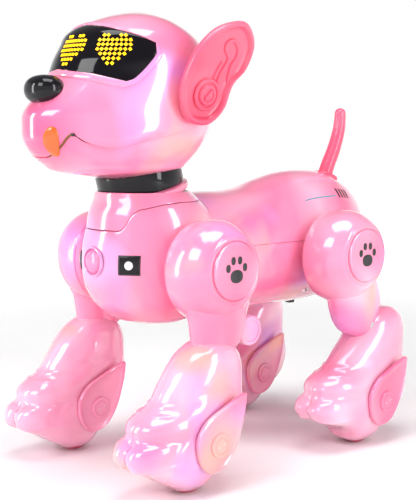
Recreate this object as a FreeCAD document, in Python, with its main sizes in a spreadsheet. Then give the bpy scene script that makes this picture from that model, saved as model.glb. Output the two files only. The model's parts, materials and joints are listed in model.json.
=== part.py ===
import FreeCAD, Part
import os
import Sketcher
from math import cos, pi, sin
from FreeCAD import Placement, Rotation, Vector

# Robot dog toy, in millimetres.
# The dog looks along -Y and stands on Z = 0, its left side is +X, and the origin is under its middle.
# Left legs are modelled, and right legs are their mirror images.

doc = FreeCAD.newDocument("RobotDog")
sheet = doc.addObject("Spreadsheet::Sheet", "Sizes")

SIZES = [
    # head
    ("head_length", 129, "snout to back of the skull"),
    ("head_width", 87, "across the cheeks"),
    ("head_tall", 98, "jaw to crown"),
    ("head_middle", -68, "Y of the skull's middle"),
    ("head_bottom", 184, "Z of the jaw's lowest ring"),
    ("jaw_seam", 203, "Z of the seam between the upper and lower head shells"),
    ("visor_bottom", 241, "Z of the visor's lower edge"),
    ("visor_top", 271.5, "Z of the visor's upper edge"),
    ("visor_corner", -73.5, "Y of the visor's rear corners"),
    ("nose_width", 24, "nose across"),
    ("nose_deep", 18, "nose front to back"),
    ("nose_tall", 15.5, "nose up and down"),
    ("nose_rise", 234, "Z of the nose"),
    ("tongue_width", 13, "tongue across"),
    ("tongue_tall", 18, "tongue up and down"),
    ("tongue_side", 14, "X of the tongue, which hangs out on the left"),
    # ears
    ("ear_lean", 12, "degrees that each ear leans outwards"),
    ("ear_back", -47, "Y of the ear's pivot"),
    ("ear_rise", 236, "Z of the ear's pivot"),
    ("ear_side", 38, "X where the ear's boss starts inside the head"),
    ("ear_boss", 9, "length of the boss that carries an ear"),
    ("ear_reach", 28, "from the pivot to the centre of the ear's wide end"),
    ("ear_wide", 22, "radius of the ear's wide end"),
    ("ear_narrow", 19, "radius of the ear's hub end"),
    ("ear_thick", 7, "thickness of the ear"),
    ("ear_pin", 5, "radius of the ear's pivot pin"),
    ("left_ear_turn", -36, "degrees that the left ear is turned back from upright"),
    ("right_ear_turn", 0, "degrees that the right ear is turned back from upright"),
    ("eye_board_wide", 44, "eye board across"),
    ("eye_board_tall", 18, "eye board up and down"),
    ("eye_board_behind", 13, "how far the eye board stands in front of the visor's rear corners"),
    # neck
    ("neck_lean", 14, "degrees that the neck leans forward"),
    ("neck_back", -58, "Y of the collar's middle"),
    ("neck_rise", 182, "Z of the collar's middle"),
    ("collar_out", 27, "outer radius of the collar"),
    ("collar_in", 19, "inner radius of the collar"),
    ("collar_tall", 13, "height of the collar"),
    ("neck_shaft", 6, "radius of the shaft that turns the head"),
    # chest and rear body
    ("chest_length", 85, "chest front to back"),
    ("chest_width", 80, "chest across"),
    ("chest_tall", 90, "chest up and down"),
    ("chest_middle", -51, "Y of the chest's middle"),
    ("chest_bottom", 88, "Z of the chest's lowest ring"),
    ("yoke_seam", 161, "Z of the seam under the neck yoke"),
    ("rear_length", 183, "rear body, from inside the chest to the rump"),
    ("rear_width", 82, "rear body across"),
    ("rear_tall", 92, "rear body up and down at the hump"),
    ("rear_front", -44.5, "Y of the rear body's first ring, inside the chest"),
    ("rear_rise", 137, "Z of the rear body's middle at the hump"),
    ("back_seam", 138, "Z of the seam between the back and belly shells"),
    ("wall", 2.2, "wall of the body shells"),
    # chest trim
    ("button_radius", 7.6, "chest button"),
    ("button_rise", 132, "Z of the chest button"),
    ("button_proud", 2.5, "how far the button stands out"),
    ("window_wide", 11.4, "sensor window across"),
    ("window_tall", 10.2, "sensor window up and down"),
    ("window_side", 25, "X of the sensor windows"),
    ("window_turn", 40, "degrees that each window is turned outwards"),
    # inside the body
    ("gearbox_long", 26, "gearbox front to back"),
    ("gearbox_tall", 30, "gearbox up and down"),
    ("gearbox_side", 28, "X of a gearbox's output faces"),
    ("battery_long", 53, "battery pack"),
    ("battery_wide", 34, "battery pack"),
    ("battery_tall", 15, "battery pack"),
    ("battery_front", 0, "Y of the battery pack's front"),
    ("door_margin", 3, "how far the battery door overlaps the pack"),
    ("board_long", 60, "main board"),
    ("board_wide", 48, "main board"),
    ("board_thick", 1.6, "main board and eye board"),
    ("board_rise", 148, "Z of the main board"),
    ("speaker_radius", 15, "speaker"),
    ("speaker_tall", 8, "speaker"),
    ("switch_long", 5, "power switch knob"),
    ("switch_wide", 4, "power switch knob"),
    ("switch_travel", 4, "power switch travel"),
    ("switch_front", 76, "Y of the power switch's front"),
    ("screw_head", 2.9, "radius of a screw head"),
    ("screw_shank", 1.4, "radius of a screw's thread"),
    ("screw_head_tall", 2.4, "height of a screw's head"),
    ("screw_long", 10, "length of a screw"),
    ("screw_seat", 101, "Z of the screws' lower faces"),
    # legs
    ("axle_rise", 129.5, "Z of the shoulder and hip axles"),
    ("shoulder_back", -48, "Y of the shoulder axle"),
    ("hip_back", 70, "Y of the hip axle"),
    ("pod_inner", 43, "X of the thigh's inner face"),
    ("pod_deep", 32.5, "thigh from its inner face to the cap's seat"),
    ("pod_long", 58, "thigh front to back"),
    ("pod_tall", 62, "thigh up and down"),
    ("cap_radius", 17.2, "cap on the thigh"),
    ("cap_thick", 3.2, "cap on the thigh"),
    ("cap_sunk", 1.2, "depth of the cap's seat"),
    ("hub_radius", 7, "radius of the drive hub"),
    ("leg_side", 58, "X of the wheels and boots"),
    ("front_wheel", -71.5, "Y of the front wheels"),
    ("rear_wheel", 81, "Y of the rear wheels"),
    ("front_knee", -50, "Y of the front knees"),
    ("rear_knee", 87, "Y of the rear knees"),
    ("knee_rise", 80, "Z of the knees"),
    ("link_wide", 23, "knee link across"),
    ("link_slot", 34, "slot in the boot's top for the knee link"),
    ("boot_wide", 41, "boot across"),
    ("boot_wall", 3, "wall of the boot shells"),
    ("cover_stub", 4, "radius of the stub that fixes a wheel cover in the boot"),
    ("knee_gap", 2.6, "room around the knee link in the boot"),
    ("knee_pin", 2.5, "radius of the knee pin"),
    ("cover_thick", 2.6, "wheel cover plate"),
    ("cover_boss", 7, "radius of the wheel cover's round boss"),
    ("boss_back", 8, "from the wheel back to the cover's boss"),
    ("boss_rise", 30, "Z of the cover's boss"),
    ("boss_proud", 0.8, "how far the boss stands out from the cover"),
    ("wheel_radius", 16, "roller under the boot"),
    ("wheel_wide", 17, "roller across"),
    ("wheel_pin", 2, "radius of the wheel's axle"),
    # tail
    ("tail_root", 115, "Y of the tail's ball"),
    ("tail_rise", 172.5, "Z of the tail's ball"),
    ("tail_ball", 8.5, "radius of the ball at the tail's root"),
    ("tail_rod", 5.4, "radius of the tail above its root"),
    ("tail_tip", 3.6, "radius of the tail's tip"),
    ("tail_tall", 55, "from the ball to the tail's tip"),
    # clearances
    ("running", 0.05, "radial clearance of a shaft that turns in its bore"),
    ("gap", 0.4, "gap between pieces that pass each other"),
]

for row, (alias, value, note) in enumerate(SIZES, start=1):
    sheet.set("A%d" % row, alias)
    sheet.set("B%d" % row, str(value))
    sheet.setAlias("B%d" % row, alias)
    sheet.set("C%d" % row, note)
doc.recompute()

# Shapes of the skins. Each row is a ring: its place along the skin, then its shifts and half sizes,
# all as shares of the skin's own sizes.
HEAD_RINGS = [
    # up, forward, half length, half width
    (0.00, 0.050, 0.270, 0.28),
    (0.07, 0.055, 0.385, 0.37),
    (0.19, 0.055, 0.472, 0.45),
    (0.30, 0.050, 0.494, 0.485),
    (0.46, 0.012, 0.450, 0.50),
    (0.58, -0.015, 0.405, 0.50),
    (0.71, -0.030, 0.378, 0.47),
    (0.85, -0.040, 0.308, 0.39),
    (0.95, -0.060, 0.190, 0.25),
    (1.00, -0.070, 0.070, 0.09),
]
CHEST_RINGS = [
    # up, forward, half length, half width
    (0.00, -0.03, 0.11, 0.13),
    (0.055, -0.02, 0.24, 0.29),
    (0.13, 0.00, 0.34, 0.39),
    (0.27, 0.01, 0.45, 0.475),
    (0.42, 0.01, 0.49, 0.50),
    (0.58, -0.01, 0.50, 0.50),
    (0.71, -0.03, 0.49, 0.475),
    (0.82, -0.02, 0.45, 0.44),
    (0.91, 0.02, 0.39, 0.395),
    (1.00, 0.05, 0.355, 0.37),
]
REAR_RINGS = [
    # back, up, half width, half height
    (0.00, -0.07, 0.46, 0.42),
    (0.10, -0.07, 0.47, 0.43),
    (0.20, -0.07, 0.48, 0.44),
    (0.30, -0.07, 0.485, 0.435),
    (0.40, -0.06, 0.49, 0.445),
    (0.50, -0.03, 0.495, 0.47),
    (0.60, -0.01, 0.50, 0.49),
    (0.70, 0.00, 0.495, 0.50),
    (0.80, 0.00, 0.47, 0.485),
    (0.88, 0.02, 0.40, 0.415),
    (0.94, 0.05, 0.30, 0.315),
    (0.98, 0.09, 0.18, 0.19),
    (1.00, 0.11, 0.07, 0.075),
]
POD_RINGS = [
    # outwards, down, half length, half height
    (0.00, 0.035, 0.46, 0.455),
    (0.20, 0.035, 0.49, 0.49),
    (0.42, 0.032, 0.50, 0.50),
    (0.65, 0.025, 0.475, 0.475),
    (0.82, 0.015, 0.425, 0.42),
    (0.93, 0.005, 0.375, 0.37),
    (1.00, 0.000, 0.335, 0.33),
]
TAIL_RINGS = [
    # up, back, share of the radius, the size that it is a share of
    (0.00, 0.00, 1.05, "tail_rod"),
    (0.20, 0.09, 1.03, "tail_rod"),
    (0.40, 0.20, 1.00, "tail_rod"),
    (0.60, 0.27, 0.97, "tail_rod"),
    (0.80, 0.30, 0.90, "tail_rod"),
    (0.95, 0.31, 1.10, "tail_tip"),
    (1.00, 0.31, 0.50, "tail_tip"),
]
# Rings of the boots and knee links are in millimetres: a boot's rings from the wheel,
# with the heights from the floor, and a link's rings from the knee.
BOOTS = {
    # height, back from the wheel, half length, half width share
    "front": [
        (3, 0, 10, 0.24),
        (6, -1, 14, 0.31),
        (12, -5, 22, 0.40),
        (19, -9, 32, 0.47),
        (27, -8, 37.5, 0.50),
        (36, 0, 37, 0.49),
        (48, 9, 32.5, 0.47),
        (62, 15, 26.5, 0.45),
        (75, 18, 23, 0.44),
        (84, 18.5, 17, 0.38),
        (88, 19, 9, 0.24),
    ],
    "rear": [
        (3, 0, 10, 0.24),
        (6, -1, 14, 0.31),
        (12, -3, 22, 0.40),
        (20, -2, 35, 0.47),
        (28, -3, 44, 0.50),
        (36, 0, 45, 0.49),
        (47, 6, 40, 0.47),
        (60, 15, 30, 0.45),
        (74, 20, 25, 0.44),
        (86, 25, 17, 0.38),
        (91, 27, 9, 0.24),
    ],
}
LINKS = {
    # height, back from the knee, half length, half width share
    "front": [(-8, -2, 6, 0.42), (-3, 0, 11, 0.47), (5, 2, 16, 0.5), (14, 5, 21, 0.5), (30, 5, 20, 0.48)],
    "rear": [(-7, -4, 6, 0.42), (-2, -4, 11, 0.47), (6, -5, 17, 0.5), (14, -6, 21, 0.5), (30, -8, 20, 0.48)],
}
RING_POINTS = 8
BOOT_SEAM = 22.5      # the boot skins' seam lies clear of their flats, holes and halves


def value(formula):
    """A formula of the sheet's sizes as a number."""
    return float(sheet.evalExpression(formula))


def size(alias):
    return float(sheet.get(alias))


def bind(obj, formulas):
    for path, formula in formulas.items():
        obj.setExpression(path, formula)
    return obj


def primitive(kind, name, sizes, place, turn=None):
    """A Part primitive whose sizes and place follow the sheet."""
    obj = doc.addObject("Part::" + kind, name)
    if turn:
        obj.Placement = Placement(Vector(), Rotation(*turn))
    bind(obj, sizes)
    bind(obj, {"Placement.Base." + axis: formula for axis, formula in zip("xyz", place)})
    return obj


def combine(kind, name, first, *others):
    """A boolean of document objects: Cut, Common or MultiFuse."""
    if kind == "MultiFuse":
        obj = doc.addObject("Part::MultiFuse", name)
        obj.Refine = False
        obj.Shapes = [first, *others]
        return obj
    result = first
    for count, other in enumerate(others, start=1):
        last = count == len(others)
        obj = doc.addObject("Part::" + kind, name if last else "%s_step%d" % (name, count))
        obj.Refine = False
        obj.Base = result
        obj.Tool = other
        result = obj
    return result


def mirrored(name, source):
    obj = doc.addObject("Part::Mirroring", name)
    obj.Source = source
    obj.Normal = Vector(1, 0, 0)
    return obj


def feature(name, shape, place=None):
    obj = doc.addObject("Part::Feature", name)
    obj.Shape = shape
    if place:
        obj.Placement = place
    return obj


def oval(centre, along_u, along_v, start=0):
    """A closed smooth ring round centre, from its seam at an angle in degrees."""
    points = []
    for step in range(RING_POINTS):
        angle = 2 * pi * (step / RING_POINTS + start / 360)
        points.append(centre + along_u * cos(angle) + along_v * sin(angle))
    curve = Part.BSplineCurve()
    curve.interpolate(Points=points, PeriodicFlag=True)
    return Part.Wire(curve.toShape())


def skin(name, rings, start=0):
    """A solid through rings given as (centre, half axis, half axis)."""
    return feature(name, Part.makeLoft([oval(*ring, start) for ring in rings], True, False))


# ---------------------------------------------------------------- sketches and bodies

def origin_plane(body, role):
    return next(item for item in body.Origin.OriginFeatures if item.Role == role)


def new_sketch(body, role, name, offset="0"):
    sketch = body.newObject("Sketcher::SketchObject", name)
    sketch.AttachmentSupport = (origin_plane(body, role), "")
    sketch.MapMode = "FlatFace"
    sketch.setExpression("AttachmentOffset.Base.z", offset)
    return sketch


def hold(sketch, geometry, point, across, up):
    """Fixes one point of the sketch at two formulas."""
    for kind, formula in (("DistanceX", across), ("DistanceY", up)):
        index = sketch.addConstraint(Sketcher.Constraint(kind, -1, 1, geometry, point, value(formula)))
        sketch.setExpression("Constraints[%d]" % index, formula)


def outline(sketch, corners):
    """A closed outline of straight lines through corners given as formulas."""
    spots = [Vector(value(across), value(up), 0) for across, up in corners]
    lines = [sketch.addGeometry(Part.LineSegment(spots[i - 1], spots[i]), False) for i in range(len(spots))]
    for i, line in enumerate(lines):
        following = lines[(i + 1) % len(lines)]
        sketch.addConstraint(Sketcher.Constraint("Coincident", line, 2, following, 1))
        hold(sketch, line, 2, *corners[i])
    return lines


def circle(sketch, across, up, radius):
    spot = Vector(value(across), value(up), 0)
    ring = sketch.addGeometry(Part.Circle(spot, Vector(0, 0, 1), value(radius)), False)
    hold(sketch, ring, 3, across, up)
    index = sketch.addConstraint(Sketcher.Constraint("Radius", ring, value(radius)))
    sketch.setExpression("Constraints[%d]" % index, radius)
    return ring


def new_body(name):
    return doc.addObject("PartDesign::Body", name)


def pad(body, sketch, name, length, midplane=False):
    item = body.newObject("PartDesign::Pad", name)
    item.Profile = sketch
    item.Midplane = midplane
    item.setExpression("Length", length)
    return item


def pocket(body, sketch, name, length, midplane=False, reverse=False):
    item = body.newObject("PartDesign::Pocket", name)
    item.Profile = sketch
    item.Midplane = midplane
    item.Reversed = reverse
    item.setExpression("Length", length)
    return item


def turned(name, role, corners, axis):
    """A body of revolution from an outline of corners; axis is V_Axis or H_Axis of the sketch."""
    body = new_body(name)
    sketch = new_sketch(body, role, name + "_profile")
    outline(sketch, corners)
    item = body.newObject("PartDesign::Revolution", name + "_turned")
    item.Profile = sketch
    item.ReferenceAxis = (sketch, [axis])
    item.Angle = 360
    return body


def block(name, role, corners, length, offset="0", midplane=False):
    """A body padded from one straight outline."""
    body = new_body(name)
    sketch = new_sketch(body, role, name + "_outline", offset)
    outline(sketch, corners)
    pad(body, sketch, name + "_pad", length, midplane)
    return body


def rectangle(left, right, low, high):
    return [(left, low), (right, low), (right, high), (left, high)]


def set_place(obj, place, turn=None):
    if turn:
        obj.Placement = Placement(Vector(), Rotation(*turn))
    return bind(obj, {"Placement.Base." + axis: formula for axis, formula in zip("xyz", place)})


# ---------------------------------------------------------------- skins

def upright_rings(rings, long, wide, tall, middle, bottom, inset=0.0, inset_top=None):
    """Rings of a skin that is stacked upwards."""
    top_inset = inset if inset_top is None else inset_top
    result = []
    for up, forward, half_long, half_wide in rings:
        height = bottom + inset + up * (tall - inset - top_inset)
        centre = Vector(0, middle - forward * long, height)
        result.append((centre, Vector(half_wide * wide - inset, 0, 0),
                       Vector(0, half_long * long - inset, 0)))
    return result


def head_skin(name, inset):
    rings = upright_rings(HEAD_RINGS, size("head_length"), size("head_width"), size("head_tall"),
                          size("head_middle"), size("head_bottom"), inset)
    return skin(name, rings)


def chest_skin(name, inset, inset_top=None):
    rings = upright_rings(CHEST_RINGS, size("chest_length"), size("chest_width"), size("chest_tall"),
                          size("chest_middle"), size("chest_bottom"), inset, inset_top)
    return skin(name, rings)


def rear_skin(name, inset):
    long, wide, tall = size("rear_length"), size("rear_width"), size("rear_tall")
    rings = []
    for back, up, half_wide, half_tall in REAR_RINGS:
        place = size("rear_front") + inset + back * (long - 2 * inset)
        centre = Vector(0, place, size("rear_rise") + up * tall)
        rings.append((centre, Vector(half_wide * wide - inset, 0, 0),
                      Vector(0, 0, half_tall * tall - inset)))
    return skin(name, rings)


def neck_frame():
    """Place of the collar's middle, with +Z along the neck."""
    spot = Vector(0, size("neck_back"), size("neck_rise"))
    return Placement(spot, Rotation(Vector(1, 0, 0), size("neck_lean")))


def on_neck(obj, along="0"):
    """Stands a piece on the neck's axis, at a distance above the collar's middle."""
    obj.Placement = neck_frame()
    return bind(obj, {"Placement.Base.y": "Sizes.neck_back - (%s) * sin(Sizes.neck_lean)" % along,
                      "Placement.Base.z": "Sizes.neck_rise + (%s) * cos(Sizes.neck_lean)" % along,
                      "Placement.Rotation.Angle": "Sizes.neck_lean"})


def neck_cylinder(name, radius, low, length):
    obj = doc.addObject("Part::Cylinder", name)
    return on_neck(bind(obj, {"Radius": radius, "Height": length}), low)


# ---------------------------------------------------------------- the parts of the body

FAR = "300"          # reaches past the whole toy
SEEN = []            # every finished sub-part, in the order that it is made


def finish(obj, label):
    obj.Label = label
    SEEN.append(obj)
    return obj


def half_space(name, low):
    """A big block above a height."""
    return primitive("Box", name, {"Length": FAR, "Width": "2 * " + FAR, "Height": FAR},
                     ("-150", "-300", low))


def cross_bar(name, radius, back, rise):
    """A cutter along X through the whole toy."""
    return primitive("Cylinder", name, {"Radius": radius, "Height": FAR}, ("-150", back, rise),
                     (Vector(0, 1, 0), 90))


def on_chest(side):
    """Point and turn of a sensor window on the chest's front."""
    across = size("window_side") / (size("chest_width") / 2)
    reach = size("chest_length") / 2 * (1 - across ** 2) ** 0.5
    spot = Vector(side * size("window_side"), size("chest_middle") - reach, size("button_rise"))
    return Placement(spot, Rotation(Vector(0, 0, 1), side * size("window_turn")))


def window_block(name, side):
    """The block that a sensor window fills, standing across the chest's wall."""
    deep = 4 * size("wall")
    solid = Part.makeBox(size("window_wide"), deep, size("window_tall"),
                         Vector(-size("window_wide") / 2, -deep / 2, -size("window_tall") / 2))
    return feature(name, solid, on_chest(side))


def chest_wall(use, *cutters):
    """The chest's wall, closed under the collar, made afresh for each piece that is cut from it."""
    ceiling = size("chest_bottom") + size("chest_tall") - size("yoke_seam") - 4 * size("wall")
    return combine("Cut", "chest_wall_" + use, chest_skin("chest_skin_" + use, 0),
                   chest_skin("chest_hollow_" + use, size("wall"), ceiling), *cutters)


def rear_wall(use, *cutters):
    """The rear body's wall, which butts against the chest."""
    return combine("Cut", "rear_wall_" + use, rear_skin("rear_skin_" + use, 0),
                   rear_skin("rear_hollow_" + use, size("wall")),
                   chest_skin("chest_beside_" + use, 0), *cutters)


def torso():
    above_collar = neck_cylinder("above_collar", "80", "-Sizes.collar_tall / 2", "80")
    neck_bore = neck_cylinder("neck_bore", "Sizes.neck_shaft + Sizes.running", "-60", "80")

    shoulder_hole = cross_bar("shoulder_hole", "Sizes.hub_radius + Sizes.gap", "Sizes.shoulder_back",
                              "Sizes.axle_rise")
    hip_hole = cross_bar("hip_hole", "Sizes.hub_radius + Sizes.gap", "Sizes.hip_back", "Sizes.axle_rise")
    button_hole = primitive("Cylinder", "button_hole", {"Radius": "Sizes.button_radius + Sizes.gap / 2",
                                                        "Height": "60"},
                            ("0", "Sizes.chest_middle", "Sizes.button_rise"), (Vector(1, 0, 0), 90))
    windows = [window_block("window_block_%d" % side, side) for side in (1, -1)]

    above_seam = half_space("above_yoke_seam", "Sizes.yoke_seam")
    yoke = combine("Common", "neck_yoke", chest_wall("yoke", above_collar, neck_bore), above_seam)
    finish(yoke, "neck_yoke")
    finish(chest_wall("shell", above_seam, shoulder_hole, button_hole, *windows), "chest_shell")
    panes = []
    for count, pane in enumerate(windows):
        panes.append(combine("Common", "sensor_window_%d" % count, chest_wall("pane_%d" % count), pane))
    finish(combine("MultiFuse", "sensor_windows", *panes), "sensor_windows")
    above_back = half_space("above_back_seam", "Sizes.back_seam")
    socket = primitive("Sphere", "tail_socket", {"Radius": "Sizes.tail_ball + Sizes.gap"},
                       ("0", "Sizes.tail_root", "Sizes.tail_rise"))
    half_back = combine("Common", "back_half", rear_wall("back", hip_hole), above_back)
    finish(combine("Cut", "back_shell", half_back, socket), "back_shell")

    door = primitive("Box", "door_block",
                     {"Length": "Sizes.battery_wide + 2 * Sizes.door_margin",
                      "Width": "Sizes.battery_long + 2 * Sizes.door_margin", "Height": "30"},
                     ("-Sizes.battery_wide / 2 - Sizes.door_margin",
                      "Sizes.battery_front - Sizes.door_margin",
                      "Sizes.chest_bottom - 10"))
    slot = primitive("Box", "switch_slot",
                     {"Length": "Sizes.switch_wide + 2 * Sizes.gap",
                      "Width": "Sizes.switch_long + Sizes.switch_travel + 2 * Sizes.gap", "Height": "20"},
                     ("-Sizes.switch_wide / 2 - Sizes.gap", "Sizes.switch_front - Sizes.gap",
                      "Sizes.chest_bottom - 10"))
    holes = screws("screw_hole", "Sizes.screw_head")
    finish(rear_wall("belly", hip_hole, above_back, door, slot, *holes), "belly_shell")
    finish(combine("Common", "battery_door", rear_wall("door"), door), "battery_door")


SCREW_SPOTS = [(25, 66), (-25, 66), (22, 98), (-22, 98)]


def screws(name, radius):
    """Upright cylinders at the belly's four screws."""
    items = []
    for count, (across, back) in enumerate(SCREW_SPOTS):
        items.append(primitive("Cylinder", "%s_%d" % (name, count), {"Radius": radius, "Height": "30"},
                               (str(across), str(back), "Sizes.chest_bottom - 10")))
    return items


def body_screws():
    """Countersunk screws that hold the belly shell from below."""
    items = []
    for count, (across, back) in enumerate(SCREW_SPOTS):
        spot = (str(across), str(back), "Sizes.screw_seat")
        head = primitive("Cylinder", "screw_head_%d" % count,
                         {"Radius": "Sizes.screw_head", "Height": "Sizes.screw_head_tall"}, spot)
        shank = primitive("Cylinder", "screw_shank_%d" % count,
                          {"Radius": "Sizes.screw_shank", "Height": "Sizes.screw_long"}, spot)
        items.append(combine("MultiFuse", "screw_%d" % count, head, shank))
    finish(combine("MultiFuse", "body_screws", *items), "body_screws")


def collar():
    corners = rectangle("Sizes.collar_in", "Sizes.collar_out",
                        "-Sizes.collar_tall / 2", "Sizes.collar_tall / 2")
    finish(on_neck(turned("neck_collar", "XZ_Plane", corners, "V_Axis")), "neck_collar")


def chest_button():
    """A round button whose stem points at the board behind it; it travels along Y."""
    stem = "Sizes.button_radius * 0.4"
    face = "Sizes.button_proud"
    corners = [("0", "-9"), (stem, "-9"), (stem, "-3"), ("Sizes.button_radius", "-3"),
               ("Sizes.button_radius", face + " - 1"), ("Sizes.button_radius - 1", face), ("0", face)]
    body = turned("chest_button", "XZ_Plane", corners, "V_Axis")
    set_place(body, ("0", "Sizes.chest_middle - Sizes.chest_length / 2", "Sizes.button_rise"),
              (Vector(1, 0, 0), 90))
    finish(body, "chest_button")


def inner_parts():
    half = "Sizes.gearbox_long / 2"
    rise = "Sizes.axle_rise"
    boxes = []
    for name, back in (("front_gearbox", "Sizes.shoulder_back"), ("rear_gearbox", "Sizes.hip_back")):
        corners = rectangle("%s - %s" % (back, half), "%s + %s" % (back, half),
                            rise + " - Sizes.gearbox_tall / 2", rise + " + Sizes.gearbox_tall / 2")
        body = block(name, "YZ_Plane", corners, "2 * Sizes.gearbox_side", midplane=True)
        bore = new_sketch(body, "YZ_Plane", name + "_bore")
        circle(bore, back, rise, "Sizes.hub_radius + Sizes.running")
        pocket(body, bore, name + "_bores", "3 * Sizes.gearbox_side", midplane=True)
        middle = new_sketch(body, "YZ_Plane", name + "_motor")
        outline(middle, rectangle("%s - %s + 1" % (back, half), "%s + %s - 1" % (back, half),
                                  rise + " - 10", rise + " + 10"))
        pad(body, middle, name + "_motor_can", "0.7 * Sizes.gearbox_side", midplane=True)
        boxes.append(body)
    finish(combine("MultiFuse", "leg_gearboxes", *boxes), "leg_gearboxes")

    floor = "Sizes.rear_rise - 0.07 * Sizes.rear_tall - 0.34 * Sizes.rear_tall"
    pack = rectangle("-Sizes.battery_wide / 2", "Sizes.battery_wide / 2", "Sizes.battery_front",
                     "Sizes.battery_front + Sizes.battery_long")
    finish(block("battery_pack", "XY_Plane", pack, "Sizes.battery_tall", floor), "battery_pack")
    board = rectangle("-Sizes.board_wide / 2", "Sizes.board_wide / 2", "Sizes.battery_front",
                      "Sizes.battery_front + Sizes.board_long")
    finish(block("main_board", "XY_Plane", board, "Sizes.board_thick", "Sizes.board_rise"), "main_board")

    cone = [("0", "0"), ("Sizes.speaker_radius * 0.55", "0"),
            ("Sizes.speaker_radius", "Sizes.speaker_tall * 0.6"),
            ("Sizes.speaker_radius", "Sizes.speaker_tall"), ("0", "Sizes.speaker_tall")]
    speaker = turned("speaker", "XZ_Plane", cone, "V_Axis")
    set_place(speaker, ("0", "Sizes.battery_front + Sizes.board_long / 2",
                        "Sizes.board_rise + Sizes.board_thick + 4"))
    finish(speaker, "speaker")

    knob = rectangle("-Sizes.switch_wide / 2", "Sizes.switch_wide / 2", "Sizes.switch_front",
                     "Sizes.switch_front + Sizes.switch_long")
    finish(block("power_switch", "XY_Plane", knob, "8", "Sizes.chest_bottom + 1"), "power_switch")


def tail():
    """A soft upright tail on a ball that sits in the back shell."""
    ball = primitive("Sphere", "tail_ball_solid", {"Radius": "Sizes.tail_ball"},
                     ("0", "Sizes.tail_root", "Sizes.tail_rise"))
    root = Vector(0, size("tail_root"), size("tail_rise"))
    tall = size("tail_tall")
    rings = []
    for up, back, share, part in TAIL_RINGS:
        reach = share * size(part)
        rings.append((root + Vector(0, back * tall, up * tall), Vector(reach, 0, 0), Vector(0, reach, 0)))
    rod = skin("tail_rod_solid", rings)
    finish(combine("MultiFuse", "tail", ball, rod), "tail")


# ---------------------------------------------------------------- the head

def ear_frame(side):
    """Place of an ear's pivot, with +Z outwards along the pin."""
    outwards = Rotation(Vector(0, 1, 0), side * (90 + size("ear_lean")))
    return Placement(Vector(side * size("ear_side"), size("ear_back"), size("ear_rise")), outwards)


def ear_cylinder(name, side, radius, start, length):
    solid = Part.makeCylinder(radius, length, Vector(0, 0, start))
    return feature(name, solid, ear_frame(side))


def ear(label, side, turn):
    """A paddle whose round ends are joined by straight flanks, turned back from upright."""
    base, thick = size("ear_boss") + size("gap"), size("ear_thick")
    wide, narrow, reach = size("ear_wide"), size("ear_narrow"), size("ear_reach")
    far = Rotation(Vector(0, 0, 1), turn).multVec(Vector(-side * reach, 0, 0))
    plates = [Part.makeCylinder(narrow, thick, Vector(0, 0, base)),
              Part.makeCylinder(wide, thick, Vector(far.x, far.y, base))]
    along = far.normalize()
    across = Vector(-along.y, along.x, 0)
    lean = (narrow - wide) / reach
    flank = (1 - lean ** 2) ** 0.5
    corners = []
    for end, radius, sign in ((0, narrow, 1), (reach, wide, 1), (reach, wide, -1), (0, narrow, -1)):
        spot = along * (end + radius * lean) + across * (sign * radius * flank)
        corners.append(spot + Vector(0, 0, base))
    face = Part.Face(Part.makePolygon(corners + corners[:1]))
    plates.append(face.extrude(Vector(0, 0, thick)))
    plates.append(Part.makeCylinder(narrow * 0.42, thick + 1.5, Vector(0, 0, base)))
    plates.append(Part.makeCylinder(size("ear_pin"), base, Vector(0, 0, 0)))
    solid = plates[0].multiFuse(plates[1:]).removeSplitter()
    finish(feature(label, solid, ear_frame(side)), label)


def head_wall(use):
    """The head's wall, made afresh for each piece that is cut from it."""
    return combine("Cut", "head_wall_" + use, head_skin("head_skin_" + use, 0),
                   head_skin("head_hollow_" + use, size("wall")))


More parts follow.
